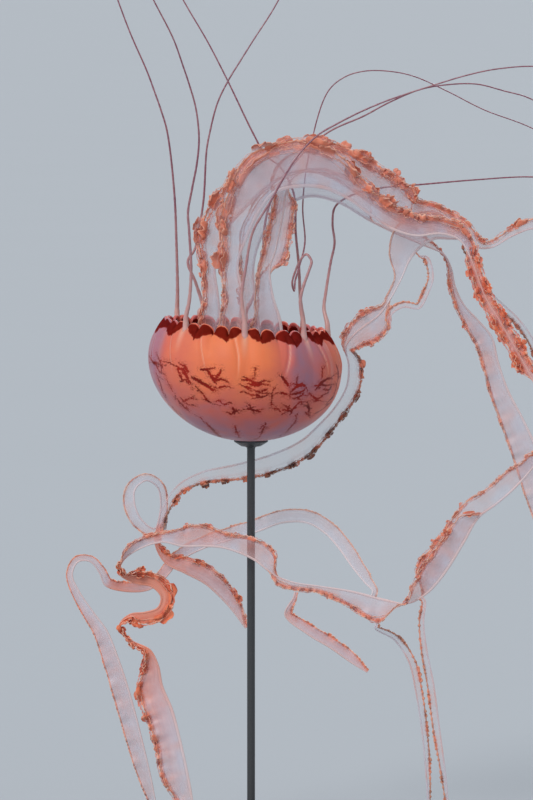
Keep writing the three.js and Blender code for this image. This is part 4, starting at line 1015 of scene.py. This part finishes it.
# ---------------------------------------------------------------- oral arms
# Angle between the two wings of a section, and the second wing's width as a share of the first. One wing has none.
SECTIONS = {"folded": (25, 0.88), "spread": (170, 1.0), "uneven": (170, 1.5), "single": (None, None)}
SAME_WING = 60  # two lengths share a wing if its roll changes by less than this at their parting
WING_OVERRUN = 11  # rows that a wing runs on past its last length while it narrows
VEIL_COLUMNS = 5
FRILL_COLUMNS = 9
STRIP_COLUMNS = 6
SHEET_THICKNESS = 0.45
DEEP_FRILL = 5.5  # edges deeper than this carry extra strips of frill
LONGEST_FRILLS = 700  # wings that start further along an arm than this have their frills in a piece of their own
STRIPS = ((0.95, 58), (0.6, -62), (0.3, 30))  # where a strip is rooted, as a share of the frill, and how it leans
TIP_RUN = 26  # rows over which a keel narrows to its tip


class ArmLine:
    """The keel of an arm in even steps, its frame, its wings and its style along it."""

    def __init__(self, lengths, root, step):
        own = [list(root) * (k == 0) + [(placed(*s[:3]), s[3:]) for s in stations] for k, (*_, stations) in enumerate(lengths)]
        stations = own[0] + [s for later in own[1:] for s in later[1:]]
        dense, at = smooth_route([point for point, _ in stations])
        run = lengths_along(dense)
        rows = int(math.ceil(run[-1] / step)) + 1
        self.run = np.linspace(0, run[-1], rows)
        self.centre = np.stack([np.interp(self.run, run, dense[:, k]) for k in range(3)], 1)
        self.along = directions_along(self.centre)
        self.left = unit(np.cross(self.along, (0.0, 1.0, 0.0)))
        self.front = np.cross(self.along, self.left)
        station = np.interp(self.run, run, at)
        self.spans, self.wings, self.names = [], [], []
        styles = np.zeros((rows, 3))
        first = 0
        for (name, kind, style, _), mine in zip(lengths, own):
            last = first + len(mine) - 1
            inside = np.flatnonzero((station >= first - 1e-9) & (station <= last + 1e-9))
            shape = smooth_values([s for _, s in mine], station[inside] - first)
            self.add_wings(inside, shape, *SECTIONS[kind])
            first_style, last_style = (style if isinstance(style[0], tuple) else (style, style))
            styles[inside] = np.linspace(first_style, last_style, len(inside))
            self.names.append(name)
            self.spans.append(inside)
            first = last
        self.style = blurred(styles, 7)

    def add_wings(self, inside, shape, gape, balance):
        width, roll = np.maximum(shape[:, 0], MIN_WING), shape[:, 1]
        wanted = [(roll, width, 0.0)] if gape is None else [
            (roll + gape / 2, width, 0.0), (roll - gape / 2, width * balance, 2.1)]
        open_wings = [w for w in self.wings if w["rows"][-1][-1] >= inside[0] - 1]
        for rolls, widths, phase in wanted:
            turned = lambda w: (rolls[0] - w["roll"][-1][-1] + 180) % 360 - 180
            near = [w for w in open_wings if abs(turned(w)) < SAME_WING]
            if near:
                wing = min(near, key=lambda w: abs(turned(w)))
                open_wings = [w for w in open_wings if w is not wing]
                whole_turns = round((rolls[0] - wing["roll"][-1][-1]) / 360) * 360
                wing["roll"].append(rolls - whole_turns)
            else:
                wing = {"rows": [], "roll": [rolls], "width": [], "phase": phase}
                self.wings.append(wing)
            wing["rows"].append(inside)
            wing["width"].append(widths)

    def finished_wings(self):
        """Each wing's rows, width, roll and phase, run on past its ends where the arm goes on."""
        total = len(self.run)
        for wing in self.wings:
            rows, width, roll = (np.concatenate(wing[key]) for key in ("rows", "width", "roll"))
            rows, keep = np.unique(rows, return_index=True)
            width, roll = width[keep], roll[keep]
            before = min(WING_OVERRUN, rows[0])
            after = min(WING_OVERRUN, total - 1 - rows[-1])
            width = np.concatenate([np.full(before, width[0]), width, np.full(after, width[-1])])
            roll = np.concatenate([np.full(before, roll[0]), roll, np.full(after, roll[-1])])
            width, roll = blurred(width, 3), blurred(roll, 4)
            if before:
                width[: before * 2] *= soft_step(0, before * 2, np.arange(before * 2))
            if after:
                width[-after * 2 :] *= soft_step(0, after * 2, np.arange(after * 2))[::-1]
            span = np.arange(rows[0] - before, rows[-1] + after + 1)
            yield span, np.maximum(width, 0.4), roll, wing["phase"]


def cad_ruffle(run, phase):
    turn = 2 * np.pi * run / RUFFLE_LENGTH + phase
    return 0.72 * np.sin(turn) + 0.28 * np.sin(2.27 * turn + 1.3)


class Lobes:
    """Rounded lobes of uneven length in a row along an edge: small where it is thin and large where it is full."""

    def __init__(self, run, length, full, seed):
        draw = np.random.default_rng(seed)
        passed = np.concatenate([[0], np.cumsum(np.diff(run) / length[1:])])
        count = int(passed[-1] / 0.6) + 3
        own = draw.uniform(0.6, 1.5, count)
        ends = np.cumsum(own) - own[0] * draw.uniform(0.1, 0.9)
        which = np.searchsorted(ends, passed)
        share = np.clip(1 - (ends[which] - passed) / own[which], 0, 1)
        size = np.clip(np.interp(ends - own / 2, passed, full) * draw.uniform(0.8, 1.15, count), 0.08, 1.15)
        self.size = size[which] * np.clip(1 - np.abs(2 * share - 1) ** 2.4, 0, 1) ** 0.5
        self.lean = (np.where(np.arange(count) % 2, 1, -1) * draw.uniform(0.25, 0.9, count))[which]
        self.cup = draw.uniform(-0.4, 0.4, count)[which]
        self.fan = (share - 0.5) * own[which] * length * 0.7


class Wing:
    """One wing of an arm: where any share of its width lies, and its frilled edge."""

    def __init__(self, line, span, width, roll, phase, seed):
        turn = np.radians(roll)[:, None]
        self.centre, self.along = line.centre[span], line.along[span]
        self.out = line.left[span] * np.cos(turn) + line.front[span] * np.sin(turn)
        self.normal = np.cross(self.along, self.out)
        self.width, self.run, self.seed = width, line.run[span], seed
        self.frill, self.warm, self.dense = line.style[span].T
        self.frill = np.minimum(self.frill, width * (0.8 + 0.15 * soft_step(0.6, 0.85, self.dense)))
        self.band = soft_step(0.24, 0.42, self.dense) * (1 - 0.45 * soft_step(0.5, 0.66, self.dense))
        self.lift = RUFFLE_HEIGHT * np.clip(width / 20, 0.3, 1) * cad_ruffle(self.run, phase)

    def at(self, share):
        """Points at a share of the width: share may differ by row."""
        share = np.broadcast_to(share, self.width.shape)
        reach = (self.width * share)[:, None]
        return self.centre + self.out * reach + self.normal * (self.lift * share**2)[:, None]

    def clumps(self, seed):
        """How full the frill is along the edge: it gathers in clumps with thin stretches between them."""
        full = wander(self.run, 30, self.seed + 11, 4) * 0.62 + wander(self.run, 15, seed + 1, 3) * 0.34
        level = 0.24 + 0.03 * self.frill - 0.02 * np.maximum(self.frill - 6, 0) + 0.3 * np.clip(self.dense - 0.3, 0, 1) + 0.15 * self.band
        even = self.band * (1 - 0.9 * soft_step(7.8, 8.8, self.frill))
        return np.clip(level + full * np.clip(self.frill / 4, 0.4, 1) * (1 - 0.45 * even), 0.04, 1.15)

    def lobes(self, full, seed, scale=1.0):
        length = np.clip(1.6 + 0.66 * self.frill, 3.6, 10) * (1 - 0.42 * self.band)
        return Lobes(self.run, scale * length, full, seed)

    def crimp(self, base, out, normal, depth, share, lobes, gap, seed):
        """Points of a frill at this share of its depth: it opens in rounded lobes that lean out to either side."""
        reach = share * (1 - 0.1 * share) * (gap + (1 - gap) * lobes.size)
        fold = lobes.size * (lobes.lean * 0.62 * share**1.4 + lobes.cup * math.sin(math.pi * share))
        sway = wander(self.run, 2.2 * float(np.median(depth)) + 6, seed, 3) * 0.16 * share**1.5
        crumple = np.clip(depth / 7, 0, 1.35) * (0.25 + 0.75 * lobes.size) * (1 - 0.45 * self.band)
        rim = wander(self.run, 4.4, seed + 1, 3) * float(soft_step(0.25, 1, share)) * 1.25 * crumple
        nick = wander(self.run, 3.6, seed + 2, 3) * float(soft_step(0.35, 1, share)) * 1.1 * crumple
        crease = wander(self.run, 7, seed + 4, 3) * 1.35 * share * crumple
        return (
            base
            + out * (depth * reach + nick + 0.4 * crease)[:, None]
            + normal * (depth * (fold + sway) + rim + crease)[:, None]
            + self.along * (lobes.fan * lobes.size * share**1.5 + 0.7 * nick)[:, None]
        )

    def edge_row(self, share):
        """The sheet's own frill at this share of its depth."""
        start = self.at(1 - self.frill / self.width)
        lifted = self.at(1.0) - start - self.out * self.frill[:, None]
        lobes = self.lobes(self.clumps(self.seed + 11), self.seed + 3)
        return self.crimp(start, self.out, self.normal, self.frill, share, lobes, 0.55, self.seed) + lifted * share

    def sheet(self, name):
        """The membrane, with its frilled edge in the last columns."""
        lobes = self.lobes(self.clumps(self.seed + 11), self.seed + 3)
        edge = 1 - self.frill / self.width
        inner = [self.at(edge * k / VEIL_COLUMNS) for k in range(VEIL_COLUMNS)]
        points = np.stack(inner + [self.edge_row(k / FRILL_COLUMNS) for k in range(FRILL_COLUMNS + 1)], 1)
        columns = points.shape[1]
        t = np.clip((np.arange(columns) - VEIL_COLUMNS) / FRILL_COLUMNS, 0, 1)
        full = np.clip(np.maximum(0.12 + lobes.size, 0.6 * self.band), 0, 0.92)
        bloom = (0.3 + 0.7 * soft_step(0.0, 0.6, t))[None, :] * full[:, None]
        near_edge = (np.arange(VEIL_COLUMNS) / VEIL_COLUMNS)[None, :] ** (2.5 - 1.3 * self.band[:, None])
        bloom[:, :VEIL_COLUMNS] = near_edge * np.clip(0.10 + 0.4 * blurred(lobes.size, 8), 0, 0.36)[:, None]
        bloom[:, -1] = 1
        bloom[:, -2] = np.maximum(bloom[:, -2], 0.95)
        reach = self.width[:, None] * np.concatenate([edge[:, None] * np.arange(VEIL_COLUMNS) / VEIL_COLUMNS,
                                                      np.ones((len(edge), FRILL_COLUMNS + 1))], 1)
        ridge = np.clip(1.4 * self.dense, 0.1, 0.42)[:, None] * np.exp(-reach / 4.5)
        return self.make(name, points, bloom, ridge)

    def make(self, name, points, bloom, ridge=None):
        rows, columns = points.shape[:2]
        level = lambda values: np.broadcast_to(values[:, None], (rows, columns))
        across = np.broadcast_to(np.linspace(0, 1, columns), (rows, columns))
        piece = shaped_grid(
            name, inside_box(points), across, level(self.run) / 100,
            bloom=bloom, ridge=np.zeros((rows, columns)) if ridge is None else ridge, warm=level(self.warm),
            dense=level(self.dense))
        return thickened(piece, SHEET_THICKNESS)

    def strip(self, name, place, tilt, seed):
        """A strip of frill rooted near the edge, which leans out of the wing by this many degrees."""
        edge = 1 - self.frill * place / self.width
        turn = math.radians(tilt)
        out = self.out * math.cos(turn) + self.normal * math.sin(turn)
        normal = self.normal * math.cos(turn) - self.out * math.sin(turn)
        full = np.clip(self.clumps(seed) * 1.35 - 0.4, 0, 1.1) * (1 - 0.6 * self.band)
        lobes = self.lobes(full, seed + 3, 1.1)
        depth = self.frill * 0.95
        points = [
            self.crimp(self.at(edge), out, normal, depth, k / STRIP_COLUMNS, lobes, 0.06, seed)
            for k in range(STRIP_COLUMNS + 1)
        ]
        points = np.stack(points, 1)
        share = np.linspace(0, 1, STRIP_COLUMNS + 1)
        bloom = np.clip(0.35 + 0.9 * share, 0, 0.92)[None, :] * np.clip(0.15 + lobes.size, 0, 1)[:, None]
        bloom[:, -1] = np.maximum(bloom[:, -1], 0.98)
        return self.make(name, points, bloom)

    def hem(self, name, seed):
        """An uneven beaded thread along the edge."""
        centres = self.edge_row(1.0)
        beads = np.clip(wander(self.run, 4.6, seed, 3) + 0.3, 0, 1.6)
        clumps = np.clip(wander(self.run, 30, seed + 5) - 0.5, 0, 1.5)
        rope = 1 - soft_step(0.14, 0.3, self.dense)
        radius = 0.30 + 0.26 * beads + 0.5 * clumps * (0.5 + 0.6 * beads) + rope * (0.35 + 0.45 * beads)
        radius = radius * np.clip(self.frill / 4, 0.5, 1.0)
        points = tube_points(centres, self.out, self.normal, radius, radius, 6)
        rows = points.shape[0]
        padded = lambda values: np.broadcast_to(np.concatenate([values[:1], values, values[-1:]])[:, None], (rows, 7))
        across = np.broadcast_to(np.linspace(0, 1, 7), (rows, 7))
        piece = shaped_grid(
            name, inside_box(points), across, padded(self.run) / 100,
            bloom=np.full((rows, 7), 0.97), ridge=np.zeros((rows, 7)), warm=padded(self.warm), dense=padded(self.dense))
        return welded(piece)


def keel_band(line, wings, name):
    """The smooth band along the fold, a flat tube that lies in the plane of the wings."""
    total = len(line.run)
    out, width = np.zeros((total, 3)), np.zeros(total)
    for span, own_width, roll, _ in wings:
        turn = np.radians(roll)[:, None]
        out[span] += (line.left[span] * np.cos(turn) + line.front[span] * np.sin(turn)) * own_width[:, None]
        width[span] = np.maximum(width[span], own_width)
    out = out - line.along * (out * line.along).sum(1, keepdims=True)
    out = unit(blurred(unit(out), 5))
    across = np.cross(line.along, out)
    reach = np.clip(blurred(width, 6) * 0.03, 0.3, 1.2)
    tip = np.minimum(1, np.sqrt(np.clip((total - 1 - np.arange(total)) / TIP_RUN, 0, 1)) + 0.12)
    half_width, half_depth = (reach + 0.55) * tip, (0.75 + 0.2 * reach) * tip
    centre = line.centre + out * (reach * 0.4)[:, None]
    points = tube_points(centre, out, across, half_width, half_depth, 12)
    rows = points.shape[0]
    padded = lambda values: np.broadcast_to(np.concatenate([values[:1], values, values[-1:]])[:, None], (rows, 13))
    piece = shaped_grid(
        name, inside_box(points), np.broadcast_to(np.linspace(0, 1, 13), (rows, 13)), padded(line.run) / 100,
        bloom=np.zeros((rows, 13)), ridge=padded(np.clip(0.14 + 2.2 * line.style[:, 2], 0.2, 0.9)),
        warm=padded(line.style[:, 1]),
        dense=padded(line.style[:, 2]))
    return welded(piece)


def branch_root(spec, width_and_roll, lines):
    """The first two stations of a branch, square to the edge that it grows from."""
    arm, part, share, edge = spec
    line = lines[arm]
    rows = line.spans[line.names.index(part)]
    row = rows[int(round(share * (len(rows) - 1)))]
    wing = next(w for w in line.finished_wings() if w[0][0] <= row <= w[0][-1])
    at = row - wing[0][0]
    turn = math.radians(wing[2][at])
    out = line.left[row] * math.cos(turn) + line.front[row] * math.sin(turn)
    start = line.centre[row] if edge == "keel" else line.centre[row] + out * (wing[1][at] - 1)
    outward = -out if edge == "keel" else out
    return [(start + outward * reach, width_and_roll) for reach in (ROOT_GAP, ROOT_GAP + ROOT_RUN)]


class JELLY_OT_oral_arms(Operator):
    """Make each oral arm: its keel, membranes and frilled edges as one skin over all of its lengths"""

    bl_idname = "jelly.oral_arms"
    bl_label = "Oral arms"

    def execute(self, context):
        settings = context.scene.jelly_arms
        tissue = arm_tissue(settings)
        lines = {name: ArmLine(lengths, [], settings.row_step) for name, lengths in ARMS.items()}
        for name, (spec, root, lengths) in BRANCHES.items():
            lines[name] = ArmLine(lengths, branch_root(spec, root, lines), settings.row_step)
        for seed, (name, line) in enumerate(lines.items()):
            self.arm(name, line, 1000 * (seed + 1), tissue)
        return {"FINISHED"}

    def arm(self, name, line, seed, tissue):
        found = list(line.finished_wings())
        body = [keel_band(line, found, f"{name}_keel")]
        high, low = [], []
        for k, (span, width, roll, phase) in enumerate(found):
            wing = Wing(line, span, width, roll, phase, seed + 50 * k)
            body.append(wing.sheet(f"{name}_wing_{k}"))
            frills = low if wing.run[0] > LONGEST_FRILLS else high
            frills.append(wing.hem(f"{name}_hem_{k}", seed + 50 * k + 20))
            if wing.frill.max() > DEEP_FRILL:
                for j, (place, tilt) in enumerate(STRIPS):
                    frills.append(wing.strip(f"{name}_strip_{k}_{j}", place, tilt, seed + 50 * k + 30 + 7 * j))
        nodes = [f"oral_arm_{name}_{part}" for part in line.names]
        skin = finish_piece(joined(body, f"oral_arm_{name}_skin"), tissue, nodes)
        pieces = [skin]
        for frills, where in ((high, "frills"), (low, "low_frills")):
            if frills:
                pieces.append(finish_piece(joined(frills, f"oral_arm_{name}_{where}"), tissue))
        for piece in pieces:
            piece.data.polygons.foreach_set("material_index", [0] * len(piece.data.polygons))


# ---------------------------------------------------------------- stand
ROD_RADIUS = 4
CRADLE_RADIUS = 17
CRADLE_THICKNESS = 5


class JELLY_OT_stand(Operator):
    """Make the base plate, and the rod with its cradle under the crown"""

    bl_idname = "jelly.stand"
    bl_label = "Stand"

    def execute(self, context):
        settings = context.scene.jelly_stand
        paint = satin_paint(settings)
        finish_piece(self.base(settings), paint, ["stand_base"])
        finish_piece(self.rod(), paint, ["stand_rod"])
        return {"FINISHED"}

    def base(self, settings):
        low, high = (Vector(corner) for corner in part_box("stand_base"))
        bpy.ops.object.select_all(action="DESELECT")
        bpy.ops.mesh.primitive_cube_add(size=1, location=(low + high) / 2, scale=high - low)
        plate = bpy.context.object
        plate.name = plate.data.name = "stand_base_plate"
        bpy.ops.object.transform_apply(location=True, rotation=True, scale=True)
        bpy.ops.object.mode_set(mode="EDIT")
        bpy.ops.mesh.select_mode(type="EDGE")
        bpy.ops.mesh.select_all(action="DESELECT")
        bpy.ops.object.mode_set(mode="OBJECT")
        corners = plate.data.vertices
        for edge in plate.data.edges:
            a, b = (corners[k].co for k in edge.vertices)
            edge.select = abs(a.z - b.z) > (high.z - low.z) / 2
        bpy.ops.object.mode_set(mode="EDIT")
        bpy.ops.mesh.bevel(offset=18 * MM, segments=settings.corner_segments, affect="EDGES")
        bpy.ops.object.mode_set(mode="OBJECT")
        rounding = plate.modifiers.new("Rounding", "BEVEL")
        rounding.width, rounding.segments = 1.5 * MM, 3
        rounding.limit_method, rounding.angle_limit = "ANGLE", math.radians(60)
        bpy.ops.object.modifier_apply(modifier=rounding.name)
        bpy.ops.object.shade_smooth_by_angle(angle=math.radians(40))
        return plate

    def rod(self):
        low, high = (Vector(corner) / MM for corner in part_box("stand_rod"))
        dish = lambda r: BELL_WIDEST_Z - (BELL_WIDEST_Z - BELL_APEX_Z) * math.sqrt(1 - (r / BELL_RADIUS) ** 2) - 0.3
        under = BELL_APEX_Z - 0.3 - CRADLE_THICKNESS
        rim = dish(CRADLE_RADIUS)
        profile = [(0, low.z), (ROD_RADIUS - 0.4, low.z), (ROD_RADIUS, low.z + 0.4), (ROD_RADIUS, under - 2.2)]
        profile += [(ROD_RADIUS * 1.15, under - 0.8), (ROD_RADIUS * 1.6, under), (10, under + 0.5)]
        profile += [(15.6, rim - 2.3), (CRADLE_RADIUS, rim - 1.4), (CRADLE_RADIUS, rim - 0.35), (16.4, rim - 0.05)]
        profile += [(r, dish(r)) for r in (13, 9, 5, 0)]
        bpy.ops.object.select_all(action="DESELECT")
        mesh = bpy.data.meshes.new("stand_rod_post")
        mesh.from_pydata([(r * MM, 0, z * MM) for r, z in profile], [(k, k + 1) for k in range(len(profile) - 1)], [])
        post = bpy.data.objects.new("stand_rod_post", mesh)
        bpy.context.collection.objects.link(post)
        only(post)
        bpy.ops.object.mode_set(mode="EDIT")
        bpy.ops.mesh.select_all(action="SELECT")
        bpy.ops.mesh.spin(steps=56, angle=2 * math.pi, center=(0, 0, 0), axis=(0, 0, 1), use_auto_merge=True)
        bpy.ops.object.mode_set(mode="OBJECT")
        welded(post, 1e-6)
        post.location.x = BELL_LEAN * MM
        bpy.ops.object.transform_apply(location=True, rotation=True, scale=True)
        bpy.ops.object.shade_smooth_by_angle(angle=math.radians(40))
        return post


# ---------------------------------------------------------------- stage
VIEW_HEIGHT = 0.8  # height of the view at the model, in metres
AIM = Vector((0.0215, 0, 0.4533))
SIGHT_PITCH = math.radians(4.4)


class JELLY_OT_stage(Operator):
    """Set the pale floor, the soft studio lights and the camera"""

    bl_idname = "jelly.stage"
    bl_label = "Stage"

    def execute(self, context):
        settings = context.scene.jelly_stage
        bpy.ops.object.select_all(action="DESELECT")
        bpy.ops.mesh.primitive_plane_add(size=400)
        ground = bpy.context.object
        ground.name = "stage_floor"
        ground.data.materials.append(studio_floor(settings))
        ground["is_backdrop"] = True
        self.sky()
        self.lamp("key_light", (-1.5, -2.2, 2.3), 1.6, 25, (1.0, 0.98, 0.95))
        self.lamp("rim_light", (0.9, 2.2, 1.9), 0.9, 20, (0.95, 0.97, 1.0))
        self.camera(settings)
        context.scene.view_settings.view_transform = "Standard"
        context.scene.view_settings.look = "None"
        context.scene.cycles.transparent_max_bounces = 40
        return {"FINISHED"}

    def sky(self):
        world = bpy.data.worlds.new("studio")
        world.use_nodes = True
        background = world.node_tree.nodes["Background"]
        background.inputs["Color"].default_value = (0.92, 0.95, 1.0, 1)
        background.inputs["Strength"].default_value = 0.55
        bpy.context.scene.world = world

    def lamp(self, name, place, strength, angle, colour):
        bpy.ops.object.light_add(type="SUN", location=place)
        lamp = bpy.context.object
        lamp.name = name
        lamp.data.energy, lamp.data.angle, lamp.data.color = strength, math.radians(angle), colour
        lamp.rotation_euler = (AIM - lamp.location).to_track_quat("-Z", "Y").to_euler()
        lamp.visible_camera = False

    def camera(self, settings):
        distance = settings.camera_distance
        back = Vector((0, -math.cos(SIGHT_PITCH), math.sin(SIGHT_PITCH)))
        bpy.ops.object.camera_add(location=AIM + back * distance)
        camera = bpy.context.object
        camera.rotation_euler = (-back).to_track_quat("-Z", "Y").to_euler()
        camera.data.lens = camera.data.sensor_width * distance / VIEW_HEIGHT
        camera.data.clip_end = 600
        bpy.context.scene.camera = camera


# ---------------------------------------------------------------- panel and start
STEPS = (JELLY_OT_bell, JELLY_OT_tentacles, JELLY_OT_oral_arms, JELLY_OT_stand, JELLY_OT_stage)
SETTINGS = {
    "jelly_bell": JellyBellSettings,
    "jelly_tentacles": JellyTentacleSettings,
    "jelly_arms": JellyArmSettings,
    "jelly_stand": JellyStandSettings,
    "jelly_stage": JellyStageSettings,
}


class JELLY_PT_panel(Panel):
    """Settings and operators of the sea nettle, in the 3D view's sidebar"""

    bl_idname = "JELLY_PT_panel"
    bl_label = "Sea nettle"
    bl_space_type = "VIEW_3D"
    bl_region_type = "UI"
    bl_category = "Sea nettle"

    def draw(self, context):
        for (key, group), step in zip(SETTINGS.items(), STEPS):
            box = self.layout.box()
            for field in group.__annotations__:
                box.prop(getattr(context.scene, key), field)
            box.operator(step.bl_idname)


def register():
    for cls in (*SETTINGS.values(), *STEPS, JELLY_PT_panel):
        bpy.utils.register_class(cls)
    for key, group in SETTINGS.items():
        setattr(bpy.types.Scene, key, PointerProperty(type=group))


def unregister():
    for key in SETTINGS:
        delattr(bpy.types.Scene, key)
    for cls in reversed((*SETTINGS.values(), *STEPS, JELLY_PT_panel)):
        bpy.utils.unregister_class(cls)


def main():
    register()
    bpy.ops.jelly.bell()
    bpy.ops.jelly.tentacles()
    bpy.ops.jelly.oral_arms()
    bpy.ops.jelly.stand()
    bpy.ops.jelly.stage()
    boxes = {"cad": CAD_BOUNDS, "visual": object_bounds()}
    {key: [list(corner) for corner in corners] for key, corners in boxes.items()}


if __name__ == "__main__":
    main()
